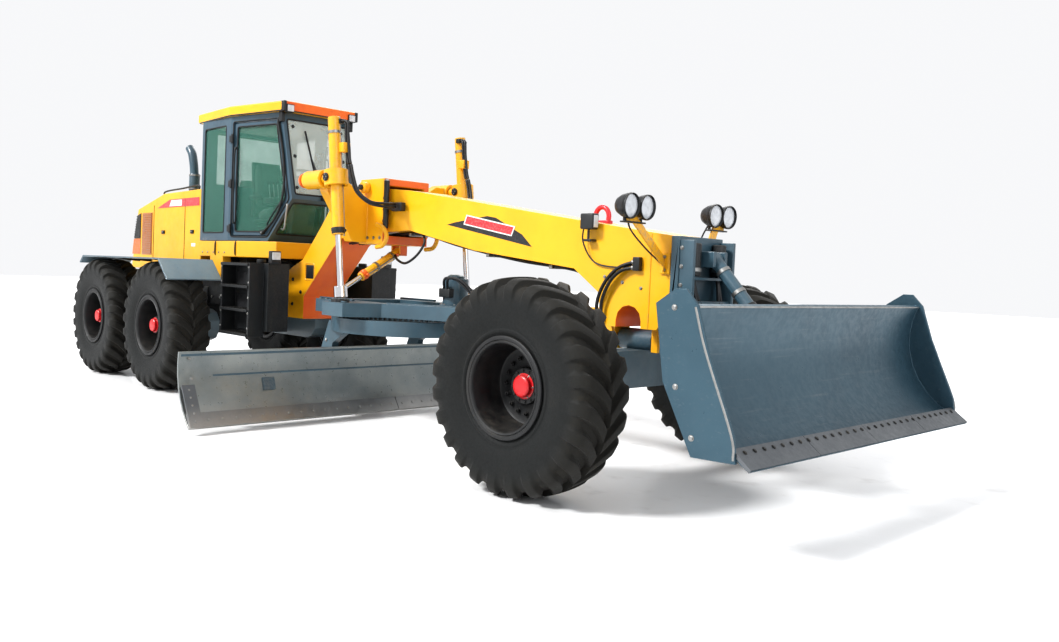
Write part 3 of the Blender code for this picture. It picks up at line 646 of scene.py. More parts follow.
def turned(profile: Sequence[tuple[float, float]], centre: Vec, axis: Vec, steps: int = 48) -> Surface:
  """Surface of revolution: point = centre + r (cos t u + sin t v) + h axis for each (r, h) of the profile.

  Args:
    profile: (radius, height) pairs from the top down the outside.
    centre: where height is zero.
    axis: direction of height.
    steps: facets round it.

  Returns:
    The surface, closed where the profile ends on the axis or meets its start.
  """
  axis = unit(axis)
  u, v = square_to(axis)
  turn = np.linspace(0, 2 * math.pi, steps, endpoint=False)
  around = np.cos(turn)[:, None] * u + np.sin(turn)[:, None] * v
  r, h = np.asarray(profile, float).T
  points = np.asarray(centre, float) + r[:, None, None] * around[None] + h[:, None, None] * axis
  closed = r[0] > 0
  return points.reshape(-1, 3), grid_faces(len(r), steps, close_rows=bool(closed), close_columns=True)


def block(low: Vec, high: Vec, radius: float = .006, steps: int = 3) -> Surface:
  """A box with rounded edges: each point of a sphere's grid is moved out to the corner of its octant.

  Args:
    low: lowest corner.
    high: highest corner.
    radius: edge radius.
    steps: facets across each rounded edge.

  Returns:
    The surface.
  """
  low, high = np.minimum(low, high).astype(float), np.maximum(low, high).astype(float)
  radius = min(radius, .49 * float((high - low).min()))
  quarter = np.linspace(0, math.pi / 2, steps + 1)
  polar = np.concatenate([quarter, quarter + math.pi / 2])
  lift = np.repeat([1, -1], steps + 1)
  around = np.concatenate([quarter + k * math.pi / 2 for k in range(4)])
  sx, sy = np.repeat([1, -1, -1, 1], steps + 1), np.repeat([1, 1, -1, -1], steps + 1)
  x = np.sin(polar)[:, None] * np.cos(around)[None]
  y = np.sin(polar)[:, None] * np.sin(around)[None]
  z = np.repeat(np.cos(polar)[:, None], len(around), 1)
  normal = np.stack([x, y, z], -1)
  corner = np.stack([np.tile(sx, (len(polar), 1)), np.tile(sy, (len(polar), 1)),
      np.repeat(lift[:, None], len(around), 1)], -1)
  points = (low + high) / 2 + corner * ((high - low) / 2 - radius) + normal * radius
  rows, columns = len(polar), len(around)
  faces = grid_faces(rows, columns, close_columns=True)
  faces = [face[::-1] for face in faces] + [list(range(columns)),
      list(range((rows - 1) * columns, rows * columns))[::-1]]
  return points.reshape(-1, 3), faces


def plate(outline: Array, thickness: float, origin: Vec, along: Vec, up: Vec) -> Surface:
  """A flat plate: outline point (a, b) stands at origin + a along + b up, and thickness goes along x up.

  Args:
    outline: (k, 2) points, counter-clockwise.
    thickness: extrusion along the cross product of along and up.
    origin: where (0, 0) is.
    along: first direction.
    up: second direction.

  Returns:
    The surface.
  """
  along, up = unit(along), unit(up)
  across = np.cross(along, up)
  outline = np.asarray(outline, float)
  flat = np.asarray(origin, float) + outline[:, :1] * along + outline[:, 1:] * up
  points = np.vstack([flat, flat + across * thickness])
  count = len(outline)
  sides = [[i, (i + 1) % count, count + (i + 1) % count, count + i] for i in range(count)]
  return points, sides + [list(range(count))[::-1], list(range(count, 2 * count))]


def round_corners(width: float, height: float, radius: float, steps: int = 4) -> Array:
  """A rectangle about (0, 0) with rounded corners, counter-clockwise.

  Args:
    width: its width.
    height: its height.
    radius: corner radius.
    steps: facets in a corner.

  Returns:
    The outline.
  """
  turn = np.linspace(0, math.pi / 2, steps + 1)
  corners = []
  for k, (sx, sy) in enumerate(((1, 1), (-1, 1), (-1, -1), (1, -1))):
    centre = np.array([sx * (width / 2 - radius), sy * (height / 2 - radius)])
    corners.append(centre + radius * np.stack([np.cos(turn + k * math.pi / 2), np.sin(turn + k * math.pi / 2)], -1))
  return np.vstack(corners)


def bolts(places: Array, normal: Vec, radius: float = .012, height: float = .009) -> Surface:
  """Bolt heads: a washer, a hexagon with a chamfered top, repeated at each place.

  Args:
    places: (n, 3) points on the surface.
    normal: direction out of the surface.
    radius: hexagon's corner radius.
    height: its height.

  Returns:
    The surface of all heads.
  """
  axis = unit(normal)
  u, v = square_to(axis)
  levels = np.array([(1.35, -.1), (1.35, .18), (1, .18), (1, .86), (.84, 1)])
  turn = np.linspace(0, 2 * math.pi, 12, endpoint=False)
  flat = 1 / np.cos((turn + math.pi / 6) % (math.pi / 3) - math.pi / 6) * math.cos(math.pi / 6)
  shape = np.where(np.arange(len(levels))[:, None] < 2, 1, flat[None])
  r = levels[:, :1] * radius * shape
  template = r[..., None] * (np.cos(turn)[:, None] * u + np.sin(turn)[:, None] * v)
  template = template + (levels[:, 1] * height)[:, None, None] * axis
  template = template.reshape(-1, 3)
  faces = np.array(grid_faces(len(levels), 12, close_columns=True))
  top = np.arange(len(template) - 12, len(template))
  places = np.asarray(places, float).reshape(-1, 3)
  points = (places[:, None] + template[None]).reshape(-1, 3)
  shift = np.arange(len(places)) * len(template)
  quads = (faces[None] + shift[:, None, None]).reshape(-1, 4).tolist()
  return points, quads + (top[None] + shift[:, None]).tolist()


def row(start: Vec, end: Vec, count: int) -> Array:
  """Evenly spaced points from start to end."""
  return np.linspace(np.asarray(start, float), np.asarray(end, float), count)


def circle_of(centre: Vec, axis: Vec, radius: float, count: int, turn: float = 0) -> Array:
  """Evenly spaced points on a circle."""
  u, v = square_to(axis)
  t = np.linspace(0, 2 * math.pi, count, endpoint=False) + turn
  return np.asarray(centre, float) + radius * (np.cos(t)[:, None] * u + np.sin(t)[:, None] * v)


class Form:
  """Collects surfaces and makes one closed, smooth-shaded object of them."""

  def __init__(self, name: str, *finishes: Finish) -> None:
    """Starts an empty form.

    Args:
      name: the piece's name.
      *finishes: its materials, by index.
    """
    self.name = name
    self.finishes = finishes
    self.points: list[Array] = []
    self.faces: Faces = []
    self.index: list[int] = []
    self.count = 0

  def add(self, surface: Surface, finish: int = 0) -> "Form":
    """Adds a surface.

    Args:
      surface: its points and faces.
      finish: index of its material.

    Returns:
      This form.
    """
    points, faces = surface
    count = self.count
    self.faces.extend([[i + count for i in face] for face in faces])
    self.index.extend([finish] * len(faces))
    self.points.append(np.asarray(points, float))
    self.count += len(points)
    return self

  def build(self, body: str, slot: Slot, *stands_for: str, **edges: float) -> Piece:
    """Makes the object, with its normals outwards, and lets it ride on a body.

    Args:
      body: the CAD body that it rides on.
      slot: its material slot in the record.
      *stands_for: CAD nodes that it replaces.
      **edges: bevel, segments and angle, as settle() takes them.

    Returns:
      The object.
    """
    mesh = bpy.data.meshes.new(self.name)
    mesh.from_pydata(np.vstack(self.points).tolist(), [], self.faces)
    for finish in self.finishes:
      mesh.materials.append(finish)
    mesh.polygons.foreach_set("material_index", self.index)
    work = bmesh.new()
    work.from_mesh(mesh)
    bmesh.ops.remove_doubles(work, verts=work.verts, dist=1e-6)
    bmesh.ops.dissolve_degenerate(work, edges=work.edges, dist=1e-7)
    bmesh.ops.recalc_face_normals(work, faces=work.faces)
    work.to_mesh(mesh)
    work.free()
    return settle(bpy.data.objects.new(self.name, mesh), body, slot, *stands_for, **edges)


def settle(obj: Piece, body: str, slot: Slot, *stands_for: str, bevel: float = 0, segments: int = 2,
    angle: float = 32) -> Piece:
  """Links an object, shades it, bevels it and lets it ride on its body.

  Args:
    obj: the object, its place in its mesh.
    body: the CAD body that it rides on.
    slot: its material slot in the record; not used.
    *stands_for: CAD nodes that it replaces.
    bevel: edge width, or 0 for none.
    segments: facets in a bevel.
    angle: edges sharper than this stay sharp, in degrees.

  Returns:
    The object.
  """
  bpy.context.scene.collection.objects.link(obj)
  mesh = obj.data
  mesh.polygons.foreach_set("use_smooth", [True] * len(mesh.polygons))
  mesh.set_sharp_from_angle(angle=math.radians(angle))
  if bevel:
    round_edges = obj.modifiers.new("rounded edges", "BEVEL")
    round_edges.width = bevel
    round_edges.segments = segments
    round_edges.limit_method = "ANGLE"
    round_edges.angle_limit = math.radians(angle)
    round_edges.harden_normals = False
    even = obj.modifiers.new("even shading", "WEIGHTED_NORMAL")
    even.keep_sharp = True
  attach(obj, body)
  if stands_for:
    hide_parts(*stands_for)
  return obj


def softened(node: str, finish: Finish, body: str, slot: Slot, bevel: float = .006, segments: int = 2,
    name: str = "") -> Piece:
  """A merged copy of a CAD node with rounded edges, which stands for the node.

  Args:
    node: the CAD node.
    finish: its material.
    body: the CAD body that it rides on.
    slot: its material slot in the record.
    bevel: edge width.
    segments: facets in a bevel.
    name: the piece's name, or empty for the node's own with "_shell".

  Returns:
    The object.
  """
  mesh = bpy.data.meshes.new(name or node + "_shell")
  work = bmesh.new()
  work.from_mesh(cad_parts[node].data)
  bmesh.ops.remove_doubles(work, verts=work.verts, dist=2e-5)
  flat = math.radians(.6)
  bmesh.ops.dissolve_limit(work, angle_limit=flat, verts=work.verts, edges=work.edges, delimit=set())
  work.to_mesh(mesh)
  work.free()
  mesh.materials.clear()
  mesh.materials.append(finish)
  mesh.polygons.foreach_set("material_index", [0] * len(mesh.polygons))
  obj = bpy.data.objects.new(mesh.name, mesh)
  return settle(obj, body, slot, node, bevel=bevel, segments=segments)


def dress(node: str, finish: Finish) -> None:
  """Gives a CAD node that stays its finish."""
  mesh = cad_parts[node].data
  mesh.materials.clear()
  mesh.materials.append(finish)


# ---- wheels
@dataclass
class Wheel:
  """A tyre with deep angled lugs on a dished black rim with a red hub cap."""

  name: str
  body: str
  x: float
  side: Side
  centre_y: float = 1.36
  radius: float = .79
  lugs: int = 24
  lug_depth: float = .044
  rake: float = .95
  drive: bool = False

  @property
  def centre(self) -> Array:
    """The wheel's centre."""
    return np.array([self.x, self.side.value * self.centre_y, self.radius])

  def carcass(self) -> tuple[Array, Array, Array]:
    """Cross-section under the lugs, from bead to bead over the crown.

    Returns:
      (radius, offset) points, unit normals out of them and the lugs' share of full depth at each.
    """
    half = [(.338, .198), (.352, .204), (.372, .206), (.386, .213), (.398, .222), (.412, .224), (.424, .22),
        (.47, .234), (.54, .247), (.6, .25), (.645, .2465), (.688, .236), (.716, .214), (.732, .18), (.741, .12),
        (.745, .06), (.746, .008)]
    line = np.array(half + [(r, -y) for r, y in half[::-1]])
    curve = smoothed(np.column_stack([line, np.zeros(len(line))]), 2)[:, :2]
    slope = np.gradient(curve, axis=0)
    normal = np.stack([-slope[:, 1], slope[:, 0]], -1)
    normal /= np.linalg.norm(normal, axis=1)[:, None]
    depth = np.clip((curve[:, 0] - .595) / (.705 - .595), 0, 1)
    depth = depth * depth * (3 - 2 * depth) * np.interp(np.abs(curve[:, 1]), [.19, .25], [1, .42])
    return curve, normal, depth

  def tyre(self, finish: Finish) -> Piece:
    """Builds the tyre.

    Point = carcass(s) + normal(s) depth(s) lug(u), turned by 2 pi (u - rake(s)) / lugs. The column
    coordinate u counts lugs, lug(u) is 1 over the first half of each step with sloped walls beyond it,
    and the other half of the tread is shifted by half a step.

    Args:
      finish: the rubber.

    Returns:
      The tyre.
    """
    curve, normal, depth = self.carcass()
    inner = np.column_stack([np.full(5, .338), np.linspace(-.19, .19, 5)])
    section = np.vstack([curve, inner])
    lean = np.vstack([normal, np.zeros((5, 2))])
    depth = np.concatenate([depth, np.zeros(5)])
    steps = np.array([0, .03, .15, .3, .42, .45, .5, .56, .62, .74, .86, .93])
    walls = np.array([.94, 1, 1, 1, 1, .94, .3, 0, 0, 0, 0, .3])
    u = (np.arange(self.lugs)[:, None] + steps).ravel()
    offset = section[:, 1]
    share = np.clip(np.abs(offset) / .235, 0, 1)
    rake = self.rake * (1 - (1 - share) ** 1.5)
    half_mask = np.tile(walls, self.lugs)
    other_u = (u + .5) % 1
    other_mask = np.interp(other_u, np.append(steps, 1), np.append(walls, walls[0]))
    blend = np.clip(.5 + offset / .012, 0, 1)[:, None]
    mask = blend * half_mask[None] + (1 - blend) * other_mask[None]
    turn = 2 * math.pi * (u[None] - rake[:, None]) / self.lugs
    rise = (depth[:, None] * mask) * self.lug_depth
    r = section[:, :1] + lean[:, :1] * rise
    h = section[:, 1:] + lean[:, 1:] * rise
    s = self.side.value
    points = np.stack([r * np.sin(turn), s * h, r * np.cos(turn)], -1) + self.centre
    rows, columns = mask.shape
    form = Form(self.name + "_tread_tyre", finish)
    form.add((points.reshape(-1, 3), grid_faces(rows, columns, True, True)))
    mesh = bpy.data.meshes.new(form.name)
    mesh.from_pydata(points.reshape(-1, 3).tolist(), [], form.faces)
    mesh.materials.append(finish)
    for label, values in (("lug", mask * (depth[:, None] > .02)), ("crown", np.repeat(depth[:, None], columns, 1))):
      store = mesh.attributes.new(label, "FLOAT", "POINT")
      store.data.foreach_set("value", values.astype(np.float32).ravel())
    work = bmesh.new()
    work.from_mesh(mesh)
    bmesh.ops.recalc_face_normals(work, faces=work.faces)
    work.to_mesh(mesh)
    work.free()
    obj = bpy.data.objects.new(form.name, mesh)
    return settle(obj, self.body, Slot.TYRE, self.name_of("tyre"), angle=38)

  def name_of(self, part: str) -> str:
    """The CAD node of the tyre or the rim."""
    stem, word = self.name.rsplit("_", 1)
    return f"{stem}_{part}_{word}"

  def rim(self, paint: Palette) -> Piece:
    """Builds the rim: a lathed dish with lock ring, hub, studs, nuts, cap and valve.

    Args:
      paint: the finishes.

    Returns:
      The rim.
    """
    out = np.array([0, float(self.side.value), 0])
    dish = [(0, 0), (.128, 0), (.134, -.006), (.136, -.034), (.15, -.04), (.262, -.04), (.28, -.032), (.29, -.01),
        (.296, .06), (.302, .15), (.31, .205), (.313, .222), (.32, .231), (.33, .2345), (.337, .228), (.343, .2345),
        (.358, .2345), (.368, .23), (.371, .222), (.369, .2135), (.36, .2105), (.336, .209), (.333, .2),
        (.333, -.2), (.336, -.209), (.36, -.2105), (.369, -.2135), (.371, -.222), (.368, -.23), (.358, -.2345),
        (.33, -.2345), (.318, -.228), (.31, -.2), (.3, -.085), (.285, -.076), (.152, -.076), (.15, -.118),
        (.14, -.12), (0, -.12)]
    form = Form(self.name + "_rim_assembly", paint.rim, paint.hub_red, paint.steel, paint.plastic)
    form.add(turned(dish, self.centre, out, 96))
    cap = [(0, .047), (.058, .047), (.07, .044), (.078, .036), (.08, .006), (.094, .004), (.094, -.004), (0, -.004)]
    if self.drive:
      drum = [(0, .135), (.088, .135), (.1, .128), (.108, .105), (.116, .02), (.124, .004), (.124, -.006),
          (0, -.006)]
      form.add(turned(drum, self.centre, out, 56))
      form.add(turned(cap, self.centre + out * .132, out, 48), 1)
      form.add(bolts(circle_of(self.centre + out * .01, out, .119, 12), out, .005, .005), 2)
    form.add(turned(cap, self.centre, out, 48), 1)
    form.add(bolts(circle_of(self.centre + out * .004, out, .086, 6), out, .006, .006), 2)
    form.add(bolts(circle_of(self.centre + out * 0, out, .113, 12, .13), out, .009, .01))
    form.add(bolts(circle_of(self.centre - out * .04, out, .205, 16), out, .0165, .024))
    studs = circle_of(self.centre - out * .03, out, .205, 16)
    for stud in studs:
      form.add(bar(stud, stud + out * .026, .0075, 8))
    valve = self.centre + np.array([0, 0, .292])
    form.add(tube([valve - out * .02, valve + out * .02, valve + out * .05 - np.array([0, 0, .012])], .006, 8), 3)
    return form.build(self.body, Slot.RIM, self.name_of("rim"))


@dataclass
class Undercarriage:
  """Six wheels, the tandem cases with their fenders, the front axle and its leaning brackets."""

  paint: Palette
  front_x: float = 3.5
  tandem_x: float = -3.5
  half_base: float = .92

  def wheels(self) -> list[Wheel]:
    """Every wheel of the machine."""
    found = []
    for side in Side:
      for stem, x in (("tandem_front", self.tandem_x + self.half_base),
          ("tandem_rear", self.tandem_x - self.half_base), ("front", self.front_x)):
        found.append(Wheel(f"{stem}_{side.word}", f"{stem}_wheel_{side.word}", x, side, drive=stem != "front"))
    return found

  def tandem(self, side: Side) -> None:
    """Rounds one tandem case and adds its cover bolts, filler plugs, fender rolls and mud flap.

    Args:
      side: the machine's side.
    """
    paint, s, body = self.paint, side.value, "tandem_" + side.word
    softened(body, paint.fender, body, Slot.CHASSIS, .004)
    form = Form(f"tandem_fittings_{side.word}", paint.black, paint.steel, paint.slate)
    face_y = s * .981
    out = (0, float(s), 0)
    for x in (self.tandem_x - self.half_base, self.tandem_x + self.half_base):
      cover = [(0, .03), (.12, .03), (.15, .024), (.162, .016), (.164, -.004), (0, -.004)]
      form.add(turned(cover, (x, face_y, .79), out, 48))
      form.add(bolts(circle_of((x, face_y + s * .02, .79), out, .14, 12), out, .009, .008), 1)
    plug_places = [(-3.9, face_y, .83), (-3.1, face_y, .83), (-3.5, face_y, .66)]
    form.add(bolts(plug_places, out, .02, .016), 1)
    for x in (-4.3, -3.9, -3.15, -2.75):
      rib = [(0, 0), (0, .038), (.18, .024), (.34, 0)]
      form.add(plate(rib, .008 * s, (x, s * .985, 1.598), (0, s, 0), (0, 0, -1)))
    lip = [(-4.853, s * 1.628, 1.52), (-4.74, s * 1.628, 1.612), (-3.5, s * 1.628, 1.612),
        (-2.246, s * 1.628, 1.612), (-1.99, s * 1.628, 1.376)]
    form.add(carried(ring(.008, 8), np.array(lip)), 2)
    form.build(body, Slot.CHASSIS)

  def front_axle(self) -> None:
    """Rounds the axle, its leaning brackets and spindles, and adds pin caps, bolts and grease nipples."""
    paint = self.paint
    softened("front_axle", paint.slate, "front_axle", Slot.CHASSIS, .008)
    form = Form("front_axle_fittings", paint.black, paint.steel)
    for sign in (-1, 1):
      form.add(bar((3.5 + sign * .101, 0, 1.1), (3.5 + sign * .168, 0, 1.1), .062, 32, .1))
      for s in (-1, 1):
        form.add(bar((3.5 + sign * .1, s * .78, .8), (3.5 + sign * .118, s * .78, .8), .04, 24))
        places = row((3.5 + sign * .1005, s * .35, .86), (3.5 + sign * .1005, s * .6, .82), 3)
        form.add(bolts(places, (sign, 0, 0), .012, .01), 1)
    form.build("front_axle", Slot.CHASSIS)
    for side in Side:
      s = side.value
      softened(f"lean_bracket_{side.word}", paint.slate, f"lean_bracket_{side.word}", Slot.CHASSIS, .008)
      dress(f"spindle_{side.word}", paint.black)
      trim = Form(f"lean_bracket_pins_{side.word}", paint.black, paint.steel)
      for sign in (-1, 1):
        trim.add(bar((3.5 + sign * .078, s * .912, .79), (3.5 + sign * .1, s * .912, .79), .04, 24))
        places = circle_of((3.5 + sign * .08, s * .912, .79), (sign, 0, 0), .062, 4, .78) * [1, 1, 1]
        trim.add(bolts(places, (sign, 0, 0), .009, .008), 1)
      trim.build(f"lean_bracket_{side.word}", Slot.CHASSIS)

  def build(self) -> None:
    """Builds the wheels and dresses what carries them."""
    for wheel in self.wheels():
      wheel.tyre(self.paint.rubber)
      wheel.rim(self.paint)
      LOG.info("wheel %s", wheel.name)
    for side in Side:
      self.tandem(side)
    self.front_axle()
    LOG.info("undercarriage")


# ---- front frame
def painted_faces(obj: Piece, finish: Finish, chosen: Callable[[Array, Array], Array]) -> None:
  """Gives some faces of an object a second finish.

  Args:
    obj: the object.
    finish: the second finish.
    chosen: takes face centres and normals, (n, 3) each, and returns True where the finish goes.
  """
  mesh = obj.data
  count = len(mesh.polygons)
  centres, normals = np.empty(count * 3), np.empty(count * 3)
  mesh.polygons.foreach_get("center", centres)
  mesh.polygons.foreach_get("normal", normals)
  index = np.empty(count, int)
  mesh.polygons.foreach_get("material_index", index)
  mask = chosen(centres.reshape(-1, 3), normals.reshape(-1, 3))
  mesh.materials.append(finish)
  index[mask] = len(mesh.materials) - 1
  mesh.polygons.foreach_set("material_index", index.tolist())


def hose_between(name: str, path: Sequence[Point], radius: float, finish: Finish) -> Piece:
  """A round hose along the path, linked to the scene without riding on any body.

  Args:
    name: the hose's name.
    path: points that its centre line passes.
    radius: its radius.
    finish: its material.

  Returns:
    The object.
  """
  points, faces = tube(path, radius, 12)
  mesh = bpy.data.meshes.new(name)
  mesh.from_pydata(points.tolist(), [], faces)
  work = bmesh.new()
  work.from_mesh(mesh)
  bmesh.ops.recalc_face_normals(work, faces=work.faces)
  work.to_mesh(mesh)
  work.free()
  mesh.materials.append(finish)
  mesh.polygons.foreach_set("use_smooth", [True] * len(mesh.polygons))
  obj = bpy.data.objects.new(name, mesh)
  bpy.context.scene.collection.objects.link(obj)
  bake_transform(obj)
  return obj


@dataclass
class RoundLamp:
  """A round work lamp: black housing, bright bezel and a domed lens."""

  centre: Array
  axis: Array
  radius: float = .1
  depth: float = .115

  def add_to(self, form: Form, housing: int, bezel: int, lens: int) -> None:
    """Adds the lamp's surfaces to a form.

    Args:
      form: receives the surfaces.
      housing: index of the housing's finish.
      bezel: index of the bezel's finish.
      lens: index of the lens's finish.
    """
    r, d = self.radius, self.depth
    shell = [(0, -d), (.4 * r, -d), (.62 * r, -.86 * d), (.86 * r, -.5 * d), (.97 * r, -.16 * d), (r, 0),
        (.99 * r, .01), (.9 * r, .012), (.88 * r, -.01), (0, -.012)]
    ring_line = [(.9 * r, .013), (.955 * r, .02), (1 * r, .012), (1 * r, 0), (.93 * r, -.004), (.885 * r, .006)]
    glass = [(0, .016), (.45 * r, .013), (.75 * r, .008), (.885 * r, .001), (.885 * r, -.008), (0, -.008)]
    form.add(turned(shell, self.centre, self.axis, 40), housing)
    form.add(turned(ring_line, self.centre, self.axis, 40), bezel)
    form.add(turned(glass, self.centre, self.axis, 40), lens)


def box_lamp(form: Form, low: Vec, high: Vec, facing: int, finishes: tuple[int, int] = (0, 1)) -> None:
  """A square work lamp: rounded housing with a lens let into one face.

  Args:
    form: receives the surfaces.
    low: housing's lowest corner.
    high: its highest corner.
    facing: +1 or -1 for lenses along y, +2 or -2 along x.
    finishes: housing and lens indices.
  """
  form.add(block(low, high, .012), finishes[0])
  low, high = np.array(low, float), np.array(high, float)
  axis, sign = (1, facing) if abs(facing) == 1 else (0, facing // 2)
  inset_low, inset_high = low + .014, high - .014
  face = high[axis] if sign > 0 else low[axis]
  inset_low[axis], inset_high[axis] = sorted((face - sign * .01, face + sign * .004))
  form.add(block(inset_low, inset_high, .005), finishes[1])


@dataclass
class FrontFrame:
  """Gooseneck beam, saddle with lift arms, front mount, lamps and the lines along the beam."""

  paint: Palette
  body: str = "front_frame"
  beam_half: float = .24
  lamp_z: float = 2.133
  lamp_radius: float = .098

  def beam(self) -> None:
    """Rounds the gooseneck and saddle, and paints shade as red-orange onto the leg's front, the arch's inside and
    the saddle's front.
    """
    paint = self.paint
    beam = softened("gooseneck", paint.yellow, self.body, Slot.YELLOW, .01, 3)
    # Painted shade: the leg's forward-facing faces get red-orange in place of the yellow paint.
    painted_faces(beam, paint.orange, lambda c, n: (n[:, 0] > .3) & (c[:, 0] < .2) & (n[:, 2] < .2))
    # Painted shade: faces inside the front arch get red-orange in place of the yellow paint.
    arch = (3.42, 3.68, 1.19, 1.395)
    painted_faces(beam, paint.orange, lambda c,
        n: ((c[:, 0] > arch[0]) & (c[:, 0] < arch[1]) & (c[:, 2] > arch[2]) & (c[:,
        2] < arch[3]) & (np.abs(n[:, 1]) < .5)))
    saddle = softened("saddle", paint.yellow, self.body, Slot.YELLOW, .007)
    # Painted shade: the saddle's middle forward-facing faces get red-orange in place of the yellow paint.
    painted_faces(saddle, paint.orange, lambda c, n: (n[:, 0] > .8) & (np.abs(c[:, 1]) < .32))
    softened("front_mount", paint.slate, self.body, Slot.CHASSIS)

  def seams(self) -> None:
    """Weld beads, access covers, bolts, lock boss and the link on the saddle."""
    paint = self.paint
    form = Form("beam_fittings", paint.yellow, paint.black, paint.steel, paint.orange)
    for s in (-1, 1):
      y = s * (self.beam_half + .001)
      for bead in ([(-.02, y, 1.95), (-.02, y, 2.46)], [(3.74, y, 1.21), (3.74, y, 1.95)],
          [(-1.2, y, 1.23), (-.6, y, 1.82)]):
        form.add(carried(ring(.006, 8), smoothed(bead, 4)))
      form.add(block((-1.16, y - .004, 1.44), (-1, y + .004, 1.6), .003), 1)
      frame_line = round_corners(.2, .2, .03)
      ringed = np.column_stack([frame_line[:, 0] - 1.08, np.full(len(frame_line), y), frame_line[:, 1] + 1.52])
      form.add(carried(ring(.007, 6), np.vstack([ringed, ringed[:1]]), caps=False))
      form.add(bolts([[-1.27, y, 1.27], [-1.45, y, 1.12], [-1.45, y, 1.42]], (0, s, 0), .017, .014), 1)
      form.add(bolts(row((3.3, y, 1.6), (3.66, y, 1.52), 3), (0, s, 0), .011, .009), 2)
    form.build(self.body, Slot.YELLOW)
    lock = Form("saddle_lock", paint.yellow, paint.black, paint.steel, paint.orange)
    for s in (-1, 1):
      x, y = .1, s * .312
      lock.add(bar((x, y, 2.46), (x, y + s * .075, 2.46), .062, 28))
      lock.add(bar((x, y + s * .07, 2.46), (x, y + s * .105, 2.46), .03, 20), 1)
      lock.add(bolts(row((.03, y, 1.92), (.35, y, 1.92), 4), (0, s, 0), .014, .011), 2)
      link = smoothed([(.33, s * .34, 2.06), (.46, s * .35, 2.02), (.52, s * .35, 1.93), (.46, s * .35, 1.84),
          (.34, s * .34, 1.82)], 6)
      lock.add(carried(ring(.024, 10), link))
    for z in (2.1, 2.22, 2.34):
      lock.add(bar((.395, -.3, z), (.445, -.3, z), .022, 16), 1)
    lock.add(bar((.43, -.3, 2.02), (.43, -.3, 2.52), .03, 20), 1)
    lock.add(bar((.43, -.3, 2.24), (.66, -.3, 2.24), .026, 18), 1)
    lock.add(block((.56, -.335, 2.195), (.72, -.265, 2.285), .012), 1)
    lock.add(bolts([[.43, -.3, 2.52]], UP, .024, .016), 2)
    lock.build(self.body, Slot.YELLOW)

  def stripe(self, side: Side) -> None:
    """The dark wedge and blank red panel on the beam's side.

    Args:
      side: the machine's side.
    """
    paint, s = self.paint, side.value
    form = Form(f"beam_stripe_{side.word}", paint.black, paint.red_mark, paint.white_mark)
    along, up = unit((1, 0, -.15)), unit((.15, 0, 1))
    origin = np.array([1.34, s * (self.beam_half + .0015), 2.05])
    wedge = [(0, 0), (1.16, -.04), (1.02, .05), (.66, .155), (.54, .155), (.1, .035)]
    panel = [(.255, .045), (.885, .028), (.905, .1), (.275, .12)]
    edge = [(.238, .034), (.895, .016), (.922, .111), (.262, .132)]
    for outline, lift, finish in ((wedge, 0, 0), (edge, .0022, 2), (panel, .0034, 1)):
      form.add(plate(outline, -.0014, origin + [0, s * lift, 0], along, up), finish)
    form.build(self.body, Slot.YELLOW)

  def lamps(self) -> None:
    """The two twin headlamps on slanted straps, the work lamp, and the lifting eye."""
    paint = self.paint
    form = Form("headlamp_pairs", paint.yellow, paint.plastic, paint.black, paint.lens, paint.steel)
    for s in (-1, 1):
      foot, head = np.array([3.885, s * .262, 1.715]), np.array([3.8, s * .56, 2.045])
      strap = [(-.038, -.006), (.038, -.006), (.038, .006), (-.038, .006)]
      path = np.array([foot + [0, -s * 0, -.06], foot, foot + (head - foot) * .5, head, head + [0, s * .1, .004]])
      form.add(carried(strap, path))
      form.add(block((3.84, s * .243, 1.64), (3.93, s * .262, 1.8), .004))
      form.add(bolts([[3.885, s * .268, 1.67], [3.885, s * .268, 1.77]], (0, s, 0), .01, .008), 4)
      for y in (.47, .668):
        aim = unit((1, -.04 * s, -.06))
        RoundLamp(np.array([3.845, s * y, self.lamp_z]), aim, self.lamp_radius).add_to(form, 1, 2, 3)
        form.add(bar((3.795, s * y, self.lamp_z - .115), (3.795, s * y, self.lamp_z - .06), .012, 12), 1)
      form.add(block((3.775, s * .44, 2.01), (3.825, s * .7, 2.022), .004), 1)
      form.add(tube([(3.75, s * .56, 2.1), (3.72, s * .5, 1.98), (3.76, s * .36, 1.84), (3.84, s * .25, 1.72)],
          .007, 8), 1)
    form.build(self.body, Slot.YELLOW, "headlamps")
    work = Form("beam_work_lamp", paint.plastic, paint.lens, paint.red_mark, paint.steel)
    box_lamp(work, (3.1, -.345, 1.985), (3.235, -.262, 2.115), 2)
    work.add(bar((3.16, -.3, 1.9), (3.16, -.3, 1.99), .01, 12))
    work.add(block((3.12, -.32, 1.885), (3.2, -.242, 1.905), .004))
    work.add(tube([(3.11, -.3, 2.02), (3.1, -.29, 1.88), (3.2, -.262, 1.72), (3.42, -.258, 1.68),
        (3.58, -.262, 1.7)], .0065, 8))
    turn = np.linspace(-.35, math.pi + .35, 22)
    arch = np.column_stack([3.055 + .072 * np.cos(turn), np.zeros(22), 2.108 + .085 * np.sin(turn)])
    work.add(carried(ring(.021, 12), arch), 2)
    work.add(block((2.965, -.035, 2.04), (3.145, .035, 2.078), .006), 2)
    work.build(self.body, Slot.YELLOW)

